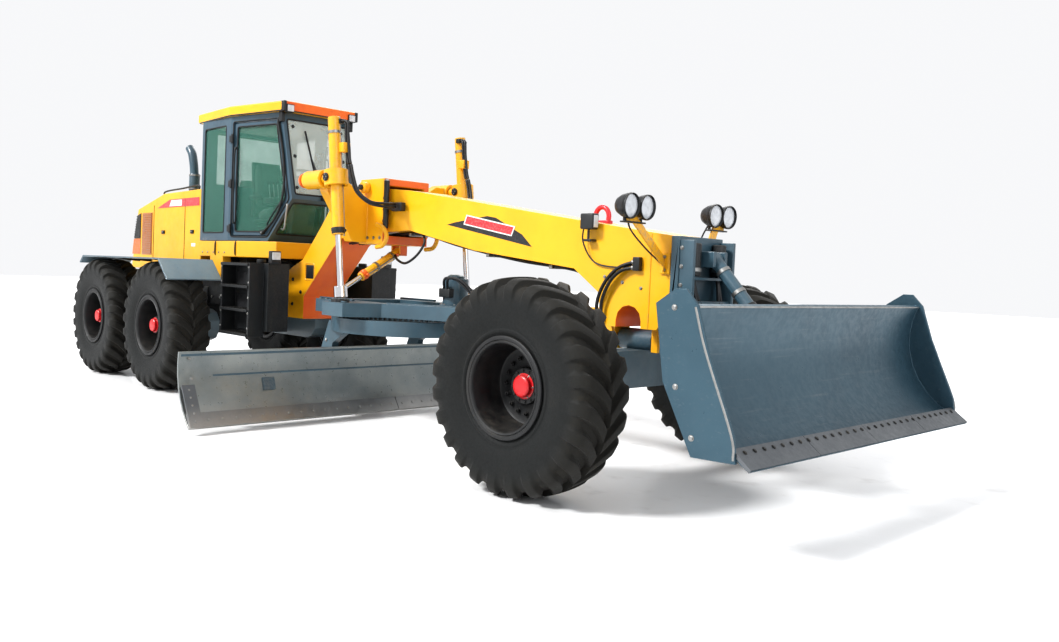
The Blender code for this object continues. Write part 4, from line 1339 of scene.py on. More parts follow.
  def lines(self) -> None:
    """Hoses at the beam's front, along its underside and at the front mount."""
    paint = self.paint
    form = Form("beam_hoses", paint.hose, paint.steel, paint.black)
    for s in (-1, 1):
      for shift in (0, .045):
        path = [(3.26 + shift, s * .27, 1.22), (3.27 + shift, s * .285, 1.4), (3.35 + shift, s * .295, 1.56),
            (3.47 + shift * .6, s * .29, 1.675 - shift * .5), (3.6, s * .268, 1.725 - shift)]
        form.add(tube(path, .0145, 12))
        form.add(bar((3.585, s * .268, 1.724 - shift), (3.63, s * .264, 1.728 - shift), .019, 14), 1)
      form.add(block((3.6, s * .241, 1.655), (3.665, s * .285, 1.765), .006), 2)
    for index, y in enumerate((-.09, -.05, .05, .09)):
      path = [(-.5, y, 1.865), (.1, y, 1.945), (.74, y, 1.972 - .004 * index), (1.4, y, 1.842), (2.2, y, 1.715),
          (2.92, y, 1.632), (3.17, y, 1.46)]
      form.add(tube(path, .012, 10))
    for x, z in ((.62, 1.968), (1.8, 1.768), (2.6, 1.675)):
      form.add(block((x - .02, -.12, z - .024), (x + .02, .12, z + .012), .006), 1)
    form.build(self.body, Slot.DARK)
    mount = Form("front_mount_fittings", paint.black, paint.steel, paint.hose, paint.slate)
    for z in (1.24, 1.42, 1.6):
      mount.add(block((4.031, -.262, z), (4.13, .262, z + .022), .005), 3)
    for s in (-1, 1):
      mount.add(block((4.031, s * .255, 1.2), (4.15, s * .29, 1.9), .006), 3)
      mount.add(bolts(row((4.05, s * .291, 1.28), (4.05, s * .291, 1.84), 5), (0, s, 0), .012, .01), 1)
      mount.add(bar((4.08, s * .17, 1.63), (4.08, s * .17, 1.88), .052, 28))
      mount.add(bar((4.08, s * .17, 1.66), (4.08, s * .17, 1.7), .058, 28), 1)
      for shift in (0, .05):
        path = [(4.06, s * (.1 + shift), 1.2), (4.13, s * (.1 + shift), 1.34), (4.1, s * (.15 + shift * .5), 1.5),
            (4.07, s * .17, 1.64)]
        mount.add(tube(path, .013, 10), 2)
    mount.add(bolts(row((4.032, -.24, 1.15), (4.032, .24, 1.15), 5), AHEAD, .014, .011), 1)
    mount.build(self.body, Slot.CHASSIS)

  def joint_hoses(self) -> None:
    """Hoses above and beside the articulation's pin."""
    for index, (y, z) in enumerate(((-.2, 1.6), (-.13, 1.62), (.13, 1.62), (.2, 1.6))):
      path = [(-2.34, y, z - .08), (-2.14, y, z), (-1.95, y * 1.15, z + .03), (-1.62, y * 1.1, z + .03),
          (-1.46, y, z - .03), (-1.36, y * .9, z - .04)]
      hose_between(f"pivot_hose_{index + 1}", path, .015, self.paint.hose)

  def build(self) -> None:
    """Builds the front frame's pieces."""
    self.beam()
    self.seams()
    for side in Side:
      self.stripe(side)
    self.lamps()
    self.lines()
    self.joint_hoses()
    LOG.info("front frame")


# ---- work gear
@dataclass
class Cylinder:
  """Trim of one hydraulic cylinder: gland, end cap, ports, pipe and the bright rod."""

  barrel: str
  rod: str
  head: Array
  foot: Array
  radius: float
  finish: Finish
  trim: Finish

  def build(self, paint: Palette) -> None:
    """Dresses the barrel and rod and adds the trim.

    Args:
      paint: the finishes.
    """
    softened(self.barrel, self.finish, self.barrel, Slot.YELLOW, .004)
    softened(self.rod, paint.chrome, self.rod, Slot.CHROME, .004)
    axis = unit(self.foot - self.head)
    side, _ = square_to(axis)
    r = self.radius
    form = Form(self.barrel + "_trim", self.trim, paint.steel, paint.hose)
    gland = [(1.02 * r, 0), (1.16 * r, .004), (1.16 * r, .034), (1.1 * r, .038), (1.1 * r, .06), (.99 * r, .062)]
    form.add(turned([(a, b) for a, b in gland][::-1], self.foot - axis * .075, axis, 36))
    band = [(1.09 * r, .028), (1.09 * r, 0), (.99 * r, 0), (.99 * r, .028)]
    for share in (.12, .55):
      form.add(turned(band, self.head + (self.foot - self.head) * share, axis, 36), 1)
    lift = side * (r + .014)
    near, far = self.head + axis * .04, self.foot - axis * .05
    form.add(tube([near + side * r, near + lift + axis * .03, far + lift - axis * .03, far + side * r * .9], .008,
        10, 10), 1)
    for place in (near, far):
      form.add(bar(place + side * r * .8, place + side * (r + .03), .017, 14))
    form.build(self.barrel, Slot.YELLOW)


@dataclass
class WorkGear:
  """Drawbar, circle, moldboard and their cylinders, and the front blade with its arm."""

  paint: Palette
  board_half: float = 2.44
  blade_half: float = 1.62
  circle_x: float = .46

  def cylinders(self) -> None:
    """Lift, side and front blade cylinders with their yokes."""
    paint = self.paint
    for side in Side:
      s, word = side.value, side.word
      top, eye = np.array([.33, s * .88, 2.5]), np.array([.48, s * .88, 1.34])
      down = unit(eye - top)
      softened(f"lift_yoke_{word}", paint.yellow, f"lift_yoke_{word}", Slot.YELLOW, .005)
      Cylinder(f"lift_barrel_{word}", f"lift_rod_{word}", top - down * .63, top + down * .585, .062, paint.yellow,
          paint.black).build(paint)
      trim = Form(f"lift_yoke_trim_{word}", paint.orange, paint.black, paint.steel)
      trim.add(bar((-.268, top[1], top[2]), (-.238, top[1], top[2]), .078, 32))
      trim.add(bolts(circle_of((-.268, top[1], top[2]), (-1, 0, 0), .045, 4), (-1, 0, 0), .01, .008), 2)
      for sign in (-1, 1):
        place = top + np.array([0, sign * .126, 0])
        trim.add(bar(place - [0, sign * .006, 0], place + [0, sign * .016, 0], .042, 28), 1)
        trim.add(bolts(circle_of(place + [0, sign * .016, 0], (0, sign, 0), .026, 4), (0, sign, 0), .006, .005), 2)
      trim.build(f"lift_yoke_{word}", Slot.YELLOW)
      self.lift_hoses(side)
    shift_top, shift_eye = np.array([.24, .05, 1.79]), np.array([.27, -.72, 1.36])
    reach = unit(shift_eye - shift_top)
    Cylinder("shift_barrel", "shift_rod", shift_top + reach * .05, shift_top + reach * .6, .048, paint.yellow,
        paint.orange).build(paint)
    blade_top, blade_eye = np.array([4.15, 0, 1.76]), np.array([4.58, 0, 1.27])
    reach = unit(blade_eye - blade_top)
    Cylinder("front_barrel", "front_rod", blade_top + reach * .05, blade_top + reach * .52, .05, paint.slate,
        paint.black).build(paint)

  def drawbar(self) -> None:
    """Rounds the drawbar and circle, adds rails, motor, ball caps, gear teeth and slide shoes."""
    paint = self.paint
    softened("drawbar", paint.slate, "drawbar", Slot.CHASSIS, .007)
    softened("circle", paint.slate, "circle", Slot.CHASSIS, .005)
    dress("drawbar_swivel", paint.black)
    form = Form("drawbar_fittings", paint.slate, paint.black, paint.steel, paint.hose)
    for s in (-1, 1):
      form.add(block((-.34, s * .555, 1.2395), (.28, s * .585, 1.262), .004))
      form.add(block((.34, s * .9, 1.2395), (.62, s * .93, 1.256), .004))
      rail = [(.84, s * .565, 1.243), (1.36, s * .272, 1.243), (2.8, s * .115, 1.243)]
      form.add(carried([(-.012, -.01), (.012, -.01), (.012, .01), (-.012, .01)], rail))
      collar = [(.094, .03), (.094, 0), (.06, -.004), (.06, .022)]
      form.add(turned(collar, (.48, s * .88, 1.2405), UP, 36), 1)
      form.add(bolts(circle_of((.48, s * .88, 1.268), UP, .077, 8), UP, .007, .006), 2)
      form.add(bolts(row((-.3, s * .6, 1.2405), (.16, s * .6, 1.2405), 5), UP, .013, .01), 2)
    form.add(turned([(0, .3), (.06, .3), (.085, .285), (.088, .262), (.124, .258), (.128, .24), (.128, 0),
        (.16, -.004), (.16, -.02), (0, -.02)], (1.24, 0, 1.26), UP, 40))
    form.add(bolts(circle_of((1.24, 0, 1.258), UP, .144, 8), UP, .01, .009), 2)
    form.add(block((1.16, -.16, 1.33), (1.32, -.08, 1.42), .01), 1)
    for shift in (0, .05):
      form.add(tube([(1.22 + shift, -.14, 1.4), (1.3 + shift, -.2, 1.52), (1.46 + shift, -.17, 1.5),
          (1.62 + shift, -.08, 1.34), (1.8, -.04, 1.258)], .013, 10), 3)
    form.add(carried(ring(.012, 10), smoothed([(1.8, -.04, 1.254), (2.3, -.03, 1.254), (2.84, -.03, 1.254)], 8)), 3)
    form.build("drawbar", Slot.CHASSIS)
    teeth = Form("circle_teeth", paint.black, paint.steel)
    turn = np.linspace(0, 2 * math.pi, 64, endpoint=False)
    for z0, z1 in ((.985, 1.06),):
      shape = np.array([(0, -.02), (-.03, -.009), (-.03, .009), (0, .02)])
      radial = np.stack([np.cos(turn), np.sin(turn)], -1)
      tangent = np.stack([-np.sin(turn), np.cos(turn)], -1)
      flat = (.624 + shape[None, :, :1]) * radial[:, None] + shape[None, :, 1:] * tangent[:, None]
      flat = flat + np.array([self.circle_x, 0])
      low = np.concatenate([flat, np.full((64, 4, 1), z0)], -1)
      high = np.concatenate([flat, np.full((64, 4, 1), z1)], -1)
      points = np.concatenate([low, high], 1).reshape(-1, 3)
      cube = np.array([[0, 3, 2, 1], [4, 5, 6, 7], [0, 1, 5, 4], [1, 2, 6, 5], [2, 3, 7, 6], [3, 0, 4, 7]])
      faces = (cube[None] + (np.arange(64) * 8)[:, None, None]).reshape(-1, 4).tolist()
      teeth.add((points, faces))
    for s in (-1, 1):
      teeth.add(bolts([[.02, s * .641, .93], [.14, s * .641, .96], [-.1, s * .641, .8]], (0, s, 0), .015, .012), 1)
      teeth.add(bar((-.1, s * .641, .38), (-.1, s * .668, .38), .045, 28))
    teeth.build("circle", Slot.CHASSIS)

  def moldboard(self) -> None:
    """Rounds the moldboard and adds its cutting edges, end bits, bolts, top bar and rear rails."""
    paint, half = self.paint, self.board_half
    softened("moldboard", paint.board, "moldboard", Slot.CHASSIS, .003)
    softened("blade_carrier", paint.black, "blade_carrier", Slot.DARK)
    form = Form("moldboard_fittings", paint.edge, paint.steel, paint.slate, paint.black)
    lower = [(.386, .07), (.402, .074), (.322, .2), (.306, .192)]
    for start, end in ((-half, -.004), (.004, half)):
      form.add(plate(lower, end - start, (0, end, 0), AHEAD, UP))
    out = unit((.84, 0, .54))
    form.add(bolts(row((.366, -half + .06, .132), (.366, half - .06, .132), 34), out, .011, .005), 1)
    for s in (-1, 1):
      bit = [(.404, .07), (.418, .076), (.205, .445), (.19, .434)]
      form.add(plate(bit, .13, (0, half if s > 0 else .13 - half, 0), AHEAD, UP))
      form.add(bolts(row((.385, s * (half - .065), .13), (.225, s * (half - .065), .4), 5), out, .012, .006), 1)
    for z, x in ((.3, .143), (.5, .118)):
      form.add(block((x - .06, -half + .35, z - .022), (x + .012, half - .35, z + .022), .006), 2)
    form.add(block((.094, -half + .02, .7), (.128, half - .02, .742), .008), 2)
    for y in row((0, -half + .5, 0), (0, half - .5, 0), 7)[:, 1]:
      rib = [(.07, .3), (.15, .3), (.12, .52), (.118, .7), (.1, .7), (.062, .5)]
      form.add(plate(rib, .016, (0, y, 0), AHEAD, UP), 2)
    slope = unit((-.353, 0, .935))
    for y in (-1.49, 1.49):
      form.add(plate(round_corners(.14, .13, .008), .006, (.16, y, .405), LEFT, slope), 2)
    for s in (-1, 1):
      form.add(bolts(row((.196, s * (half - .1), .5), (.146, s * (half - .1), .68), 2), out, .012, .008), 1)
    form.build("moldboard", Slot.CHASSIS)
    shoes = Form("carrier_shoes", paint.black, paint.steel)
    for s in (-1, 1):
      shoes.add(block((-.045, s * .64, .462), (.068, s * .74, .492), .006))
      shoes.add(bolts(row((0, s * .69, .492), (.045, s * .69, .492), 2), UP, .01, .008), 1)
    shoes.build("blade_carrier", Slot.DARK)

  def front_blade(self) -> None:
    """Rounds the front blade and its arm, and adds edge bolts, seams, ribs and pins."""
    paint, half = self.paint, self.blade_half
    softened("front_blade", paint.blade, "front_blade", Slot.CHASSIS, .005)
    softened("front_arm", paint.slate, "front_arm", Slot.CHASSIS, .008)
    form = Form("front_blade_fittings", paint.edge, paint.steel, paint.slate, paint.black)
    lip = [(5.281, .672), (5.301, .6805), (5.4185, .584), (5.404, .566)]
    for start, end in row((-half + .012, 0, 0), (half - .012, 0, 0), 5)[:, 0].repeat(2)[1:-1].reshape(-1, 2):
      form.add(plate(lip, end - start - .004, (0, end - .002, 0), AHEAD, UP))
    out = unit((.64, 0, .77))
    form.add(bolts(row((5.33, -half + .1, .6585), (5.33, half - .1, .6585), 30), out, .011, .005), 3)
    form.add(carried(ring(.006, 8), row((5.025, -half + .03, 1.449), (5.025, half - .03, 1.449), 24)), 1)
    form.add(block((4.965, -half + .03, 1.395), (5, half - .03, 1.45), .01), 2)
    for s in (-1, 1):
      rim_line = smoothed([(5.318, s * 1.6215, .62), (5.298, s * 1.6215, .76), (5.118, s * 1.6215, 1.2),
          (5.04, s * 1.6215, 1.45)], 6)
      form.add(carried(ring(.007, 8), rim_line), 1)
      form.add(bolts([[4.9, s * 1.6205, 1.44], [4.93, s * 1.6205, .98], [5.05, s * 1.6205, .7]], (0, s, 0), .014,
          .008), 1)
    for y in (-1.35, -.95, -.6, .6, .95, 1.35):
      rib = [(4.905, 1.14), (4.925, .92), (4.99, .76), (5.1, .75), (5.012, .92), (4.955, 1.1), (4.955, 1.24),
          (4.982, 1.4), (4.95, 1.42), (4.905, 1.26)]
      form.add(plate(rib, .02, (0, y, 0), AHEAD, UP), 2)
    form.build("front_blade", Slot.CHASSIS)
    pins = Form("front_arm_pins", paint.black, paint.steel)
    for s in (-1, 1):
      pins.add(bar((4.18, s * .232, 1.12), (4.18, s * .308, 1.12), .058, 28))
      pins.add(bar((4.9, s * .236, 1), (4.9, s * .304, 1), .048, 28))
      pins.add(bar((4.58, s * .042, 1.27), (4.58, s * .086, 1.27), .03, 24))
      pins.add(bolts(row((4.38, s * .2, 1.1405), (4.56, s * .2, 1.1405), 3), UP, .013, .01), 1)
    pins.build("front_arm", Slot.CHASSIS)

  def shift_hose(self) -> None:
    """The curved hose that runs from the beam's underside to the side cylinder."""
    path = [(.9, -.16, 1.955), (.93, -.18, 1.86), (.84, -.2, 1.74), (.62, -.16, 1.66), (.4, -.09, 1.69),
        (.28, -.04, 1.745)]
    hose_between("shift_cylinder_hose", path, .013, self.paint.hose)

  def lift_hoses(self, side: Side) -> None:
    """Two pipes down a lift cylinder's barrel, and two curved hoses from its yoke to the saddle's block.

    Args:
      side: the machine's side.
    """
    s, word = side.value, side.word
    pipes = Form(f"lift_pipes_{word}", self.paint.hose, self.paint.black, self.paint.yellow)
    for shift in (0, .04):
      path = [(.31 + shift, s * .83, 3.09), (.37 + shift, s * .815, 3.06), (.385 + shift, s * .815, 2.92),
          (.42 + shift, s * .815, 2.72), (.445 + shift, s * .815, 2.645)]
      pipes.add(tube(path, .014, 12))
    pipes.add(block((.335, s * .83 - .045, 2.76), (.43, s * .83 + .045, 2.86), .008), 2)
    pipes.add(block((.265, s * .83 - .03, 3.06), (.325, s * .83 + .03, 3.11), .008), 1)
    pipes.build(f"lift_barrel_{word}", Slot.DARK)
    for index, shift in enumerate((0, .04)):
      path = [(.455 + shift, s * .815, 2.635), (.5 + shift, s * .81, 2.5), (.55 + shift, s * .78, 2.36),
          (.64 + shift * .5, s * .68, 2.25 + shift * .4), (.69, s * .52, 2.225 + shift * .8),
          (.66, s * .36, 2.235 + shift * .8)]
      hose_between(f"lift_hose_{word}_{index + 1}", path, .014, self.paint.hose)

  def build(self) -> None:
    """Builds the work gear's pieces."""
    self.cylinders()
    self.drawbar()
    self.moldboard()
    self.front_blade()
    self.shift_hose()
    LOG.info("work gear")


# ---- cab
def inset(outline: Array, gap: float) -> Array:
  """A counter-clockwise outline moved inwards: each corner goes along the sum of its two edge normals.

  Args:
    outline: (n, 2) corners.
    gap: the distance, negative for outwards.

  Returns:
    (n, 2) corners.
  """
  outline = np.asarray(outline, float)
  first = outline - np.roll(outline, 1, 0)
  second = np.roll(outline, -1, 0) - outline
  first, second = (e / np.linalg.norm(e, axis=1, keepdims=True) for e in (first, second))
  n1, n2 = (np.stack([-e[:, 1], e[:, 0]], -1) for e in (first, second))
  return outline + (n1 + n2) * gap / (1 + (n1 * n2).sum(1, keepdims=True))


def bead(outline: Array, origin: Array, along: Array, up: Array, radius: float, sides: int = 8) -> Surface:
  """A round bead along a closed outline with rounded corners.

  Args:
    outline: (n, 2) corners.
    origin: the plane's origin.
    along: direction of the first coordinate.
    up: direction of the second.
    radius: the bead's radius.
    sides: its facets.

  Returns:
    The surface.
  """
  outline = np.asarray(outline, float)
  before, after = np.roll(outline, 1, 0), np.roll(outline, -1, 0)
  reach = .035
  starts = outline + (before - outline) / np.linalg.norm(before - outline, axis=1, keepdims=True) * reach
  ends = outline + (after - outline) / np.linalg.norm(after - outline, axis=1, keepdims=True) * reach
  t = np.linspace(0, 1, 6)[None, :, None]
  curve = (1 - t) ** 2 * starts[:, None] + 2 * t * (1 - t) * outline[:, None] + t**2 * ends[:, None]
  flat = curve.reshape(-1, 2)
  points = origin + flat[:, :1] * along + flat[:, 1:] * up
  return carried(ring(radius, sides), np.vstack([points, points[:1]]), caps=False)


def plumped(obj: Piece, cap: float, voxel: float = .009, pressure: float = 4) -> None:
  """Swells a closed mesh like stuffed fabric with a short cloth simulation, and applies the result.

  Args:
    obj: the cushion, at the origin, without modifiers.
    cap: the furthest that a point may move.
    voxel: edge length of the remeshed skin.
    pressure: the inner pressure.
  """
  scene = bpy.context.scene
  bpy.context.view_layer.objects.active = obj
  remesh = obj.modifiers.new("even skin", "REMESH")
  remesh.mode, remesh.voxel_size = "VOXEL", voxel
  bpy.ops.object.modifier_apply(modifier=remesh.name)
  before = np.empty(len(obj.data.vertices) * 3)
  obj.data.vertices.foreach_get("co", before)
  before = before.reshape(-1, 3)
  after = before.copy()
  cloth = obj.modifiers.new("stuffing", "CLOTH")
  cloth.settings.use_pressure = True
  cloth.settings.uniform_pressure_force = pressure
  cloth.settings.effector_weights.gravity = 0
  cloth.settings.quality = 6
  for step in range(1, 21):
    scene.frame_set(step)
  evaluated = obj.evaluated_get(bpy.context.evaluated_depsgraph_get())
  moved = np.empty(len(before) * 3)
  evaluated.data.vertices.foreach_get("co", moved)
  after = moved.reshape(-1, 3)
  obj.modifiers.remove(cloth)
  scene.frame_set(1)
  step = after - before
  length = np.linalg.norm(step, axis=1, keepdims=True)
  step = step * np.minimum(1, cap / np.maximum(length, 1e-9))
  obj.data.vertices.foreach_set("co", (before + step).ravel())
  obj.data.update()


@dataclass
class Cushion:
  """One seat cushion: a crowned block with two sewn channels and a piping seam."""

  name: str
  centre: Array
  along: Array
  up: Array
  size: tuple[float, float, float]
  channels: tuple[float, ...] = (-.28, .28)

  def shell(self) -> Surface:
    """A superellipse block: each section has width w and height h, |x/w|^4 + |z/h|^4 = 1, drawn in at both ends."""
    across = np.cross(self.up, self.along)
    t = np.linspace(0, 2 * math.pi, 40, endpoint=False)
    power = .5
    flat = np.stack([np.sign(np.cos(t)) * np.abs(np.cos(t)) ** power,
        np.sign(np.sin(t)) * np.abs(np.sin(t)) ** power], -1)
    v = np.linspace(-1, 1, 25)
    shrink = (1 - np.abs(v) ** 6) ** .5
    shrink = np.maximum(shrink, .02)
    a, b, c = self.size
    points = (self.centre + (flat[None, :, :1] * .5 * a * (.35 + .65 * shrink)[:, None,
        None]) * self.along + (flat[None, :, 1:] * .5 * c * shrink[:, None, None]) * self.up + (v[:, None,
        None] * .5 * b) * across)
    rows, columns = points.shape[:2]
    faces = grid_faces(rows, columns, close_columns=True)
    faces = list(faces) + [list(range(columns))[::-1], [(rows - 1) * columns + i for i in range(columns)]]
    return points.reshape(-1, 3), faces

  def build(self, paint: Palette, body: str) -> Piece:
    """Makes the cushion.

    Args:
      paint: the finishes.
      body: the body that it rides on.

    Returns:
      The object.
    """
    mesh = bpy.data.meshes.new(self.name)
    points, faces = self.shell()
    mesh.from_pydata(points.tolist(), [], faces)
    obj = bpy.data.objects.new(self.name, mesh)
    bpy.context.scene.collection.objects.link(obj)
    plumped(obj, .014)
    mesh = obj.data
    place = np.empty(len(mesh.vertices) * 3)
    mesh.vertices.foreach_get("co", place)
    place = place.reshape(-1, 3)
    local = place - self.centre
    side = local @ np.cross(self.up, self.along)
    top = local @ self.up
    groove = sum(np.exp(-(((side - c * self.size[1]) / .01) ** 2)) for c in self.channels)
    place = place - self.up * (.01 * groove * np.clip(top / (.5 * self.size[2]), 0, 1))[:, None]
    mesh.vertices.foreach_set("co", place.ravel())
    work = bmesh.new()
    work.from_mesh(mesh)
    bmesh.ops.recalc_face_normals(work, faces=work.faces)
    work.to_mesh(mesh)
    work.free()
    mesh.materials.clear()
    mesh.materials.append(paint.cloth)
    mesh.polygons.foreach_set("material_index", [0] * len(mesh.polygons))
    mesh.polygons.foreach_set("use_smooth", [True] * len(mesh.polygons))
    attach(obj, body)
    return obj


@dataclass
class Cab:
  """Cab frame, doors, glass, roof, lamps, seat and controls."""

  paint: Palette
  body: str = "rear_frame"
  door_outline: Array = field(default_factory=lambda: np.array([(.06, 1.93), (.69, 1.93), (1.035, 2.38),
      (.835, 3.34), (.06, 3.34)]))

  upper_light: Array = field(default_factory=lambda: np.array([(-.385, 2.44), (.385, 2.44), (.43, 3.34),
      (-.43, 3.34)]))
  lower_light: Array = field(default_factory=lambda: np.array([(-.46, 1.96), (.46, 1.96), (.4, 2.33), (-.4, 2.33)]))

  def door_plane(self, side: Side) -> tuple[Array, Array, Array]:
    """Origin, direction and outward normal of a door wall."""
    along = unit((1, -side.value * .25, 0))
    outward = np.array([-along[1], along[0], 0]) * side.value
    return np.array([-2.28, side.value * .7, 0]), along, outward

  def shell(self) -> None:
    """Rounded frame with seals, screws, corner trims and glass."""
    paint = self.paint
    softened("cab_frame", paint.cab_slate, self.body, Slot.CAB, .008, 3)
    for side in Side:
      dress(f"door_glass_{side.word}", paint.glass)
    self.panes()
    form = Form("cab_seals", paint.gasket, paint.black, paint.steel, paint.cab_slate)
    up = np.array([0, 0, 1])
    for side in Side:
      s = side.value
      window = np.array([(-2.975, 1.97), (-2.4, 1.97), (-2.4, 3.32), (-2.975, 3.32)])
      form.add(bead(inset(window, .002), np.array([0, s * .697, 0]), np.array([1, 0, 0]), up, .01))
      start, along, outward = self.door_plane(side)
      form.add(bead(inset(self.door_outline, -.01), start + outward * .004, along, up, .008))
      for z in (2.02, 2.58, 3.14):
        place = start + along * .055 + outward * .024 + up * z
        form.add(bar(place - up * .055, place + up * .055, .016, 16), 1)
        form.add(block(place - [.065, .01, .04], place + [-.005, .01, .04], .004), 1)
      low, high = sorted((s * .47, s * .52))
      form.add(block((-1.445, low, 3.3), (-1.375, high, 3.425), .006), 1)
      rail = start + outward * .06
      low, high = rail + along * 1.035 + up * 2.02, rail + along * 1.075 + up * 2.3
      grab = [low - outward * .045 - along * .09, low, low + (high - low) * .5, high,
          high - outward * .055 - along * .05]
      form.add(tube([np.array(p) for p in grab], .011, 12), 2)
    for outline in (self.upper_light, self.lower_light):
      points, faces = bead(outline, np.zeros(3), np.array([0, 1, 0]), up, .01)
      form.add((self.on_front(points, 0, points[:, 0]), faces))
    for y in (-.35, .35):
      for z in (2.52, 2.9, 3.26):
        dot = turned([(0, .01), (.016, .008), (.021, 0), (.021, -.006), (0, -.006)], (0, 0, 0), AHEAD, 18)
        form.add((self.on_front(dot[0] + [0, y, z], .002, dot[0][:, 0]), dot[1]), 1)
    window = [(-.52, 2.62), (.52, 2.62), (.52, 3.3), (-.52, 3.3)]
    form.add(bead(window, np.array([-3.053, 0, 0]), np.array([0, 1, 0]), up, .012))
    form.add(bolts(row((-3.052, -.6, 2.58), (-3.052, .6, 2.58), 5), (-1, 0, 0), .011, .008), 2)
    form.build(self.body, Slot.CAB)
    wiper = Form("windscreen_wiper", paint.black, paint.gasket)
    arm = self.on_front(np.array([[0, .02, 2.41], [0, -.04, 2.62], [0, -.14, 2.9]]), .03)
    wiper.add(carried(ring(.008, 8), arm))
    blade = self.on_front(np.array([[0, -.06, 2.52], [0, -.19, 3.22]]), .014)
    wiper.add(carried([(-.006, -.01), (.006, -.01), (.006, .01), (-.006, .01)], blade), 1)
    wiper.add(block((-1.215, -.03, 2.385), (-1.165, .07, 2.435), .01))
    wiper.build(self.body, Slot.PLASTIC)

  def panes(self) -> None:
    """Flush panes that stand for the windscreens and the rear and side lights."""
    paint = self.paint
    for name, node, outline, foot, head, finish in (("upper_windscreen_pane", "windscreen", self.upper_light,
        (-1.22, 2.38), (-1.42, 3.42), paint.clear_glass),
        ("lower_windscreen_pane", "lower_windscreen", self.lower_light, (-1.6, 1.87), (-1.22, 2.38), paint.glass)):
      up = unit((head[0] - foot[0], 0, head[1] - foot[1]))
      out = np.array([up[2], 0, -up[0]])
      flat = inset(outline, .003) - [0, foot[1]]
      flat[:, 1] /= up[2]
      pane = Form(name, finish)
      pane.add(plate(flat, .006, np.array([foot[0], 0, foot[1]]) - out * .01, LEFT, up))
      pane.build(self.body, Slot.GLASS, node)
    rear = Form("rear_and_side_panes", paint.glass)
    side_light = np.array([(-2.972, 1.973), (-2.403, 1.973), (-2.403, 3.317), (-2.972, 3.317)])
    for y in (-.686, .692):
      rear.add(plate(side_light, .006, (0, y, 0), AHEAD, UP))
    back = np.array([(-.517, 2.623), (.517, 2.623), (.517, 3.297), (-.517, 3.297)])
    rear.add(plate(back, .006, (-3.046, 0, 0), LEFT, UP))
    rear.build(self.body, Slot.GLASS, "rear_glass")

  @staticmethod
  def on_front(points: Array, proud: float, extra: Optional[Array] = None) -> Array:
    """Puts points on the cab's kinked front: x falls linearly between the heights of the front's corners.

    Args:
      points: (n, 3) points whose y and z count.
      proud: how far in front.
      extra: more of it for each point.

    Returns:
      (n, 3) points.
    """
    points = np.array(points, float)
    points[:, 0] = np.interp(points[:, 2], [1.87, 2.38, 3.42], [-1.6, -1.22, -1.42]) + proud
    if extra is not None:
      points[:, 0] += extra
    return points

  def doors(self) -> None:
    """Rounded door frames with seals, lock and handle."""
    paint, up = self.paint, np.array([0, 0, 1])
    for side in Side:
      name = f"door_{side.word}"
      softened(name, paint.cab_slate, name, Slot.CAB, .006, 3)
      start, along, outward = self.door_plane(side)
      form = Form(name + "_fittings", paint.gasket, paint.black, paint.steel)
      light = inset(self.door_outline, .055)
      form.add(bead(light, start - outward * .012, along, up, .01))
      grip = start + outward * .02
      bars = [grip + along * .715 - outward * .035 + up * 2.06, grip + along * .715 + up * 2.09,
          grip + along * .9 + up * 2.31, grip + along * .9 - outward * .035 + up * 2.345]
      form.add(tube(bars, .01, 10), 1)
      curve = [(.855, 3.3), (.945, 2.95), (.985, 2.62), (.955, 2.36), (.845, 2.14), (.655, 1.975)]
      swept = [grip + along * (a - .015) + up * z for a, z in curve]
      swept = [swept[0] - outward * .035, *swept, swept[-1] - outward * .035]
      form.add(tube(swept, .014, 12))
      rail = [grip + along * .112 - outward * .035 + up * 2.1, grip + along * .112 + outward * .01 + up * 2.16,
          grip + along * .112 + outward * .01 + up * 2.95, grip + along * .112 - outward * .035 + up * 3.01]
      form.add(tube(rail, .011, 12, 6), 1)
      lock = grip + along * .6 - outward * .024 + up * 1.975
      form.add(bar(lock - outward * .006, lock + outward * .014, .03, 24), 1)
      form.add(bar(lock, lock + outward * .018, .012, 16), 2)
      form.build(name, Slot.CAB)

  def roof(self) -> None:
    """Rounded roof with shade painted red-orange on its forward-facing front edge, and its corner lamps, horn
    bracket and drip rail.
    """
    paint = self.paint
    roof = softened("cab_roof", paint.yellow, self.body, Slot.YELLOW, .022, 4)
    # Painted shade: the roof's forward-facing faces get red-orange in place of the yellow paint.
    painted_faces(roof, paint.orange, lambda c, n: n[:, 0] > .6)
    form = Form("roof_fittings", paint.black, paint.lens, paint.orange, paint.amber, paint.steel, paint.yellow)
    for s in (-1, 1):
      low, high = sorted((s * .395, s * .5))
      form.add(block((-1.345, low, 3.405), (-1.292, high, 3.5), .008))
      corner_low, corner_high = sorted((s * .497, s * .54))
      form.add(block((-1.4, corner_low, 3.415), (-1.296, corner_high, 3.538), .012))
      form.add(block((-1.3, low + .01, 3.415), (-1.286, high - .01, 3.49), .004), 1)
      low, high = sorted((s * .4, s * .52))
      form.add(block((-3.215, low, 3.435), (-3.185, high, 3.515), .008))
      form.add(block((-3.222, low + .012, 3.445), (-3.205, high - .012, 3.505), .004), 1)
    outline = np.array([(-1.31, .53), (-2.25, .745), (-3.2, .7), (-3.2, -.7), (-2.25, -.745), (-1.31, -.53)])
    lip = inset(outline, .014)
    form.add(bead(lip, np.array([0, 0, 3.43]), np.array([1, 0, 0]), np.array([0, 1, 0]), .011))
    form.add(block((-2.85, -.36, 3.52), (-1.75, .36, 3.5395), .01), 5)
    form.build(self.body, Slot.YELLOW)

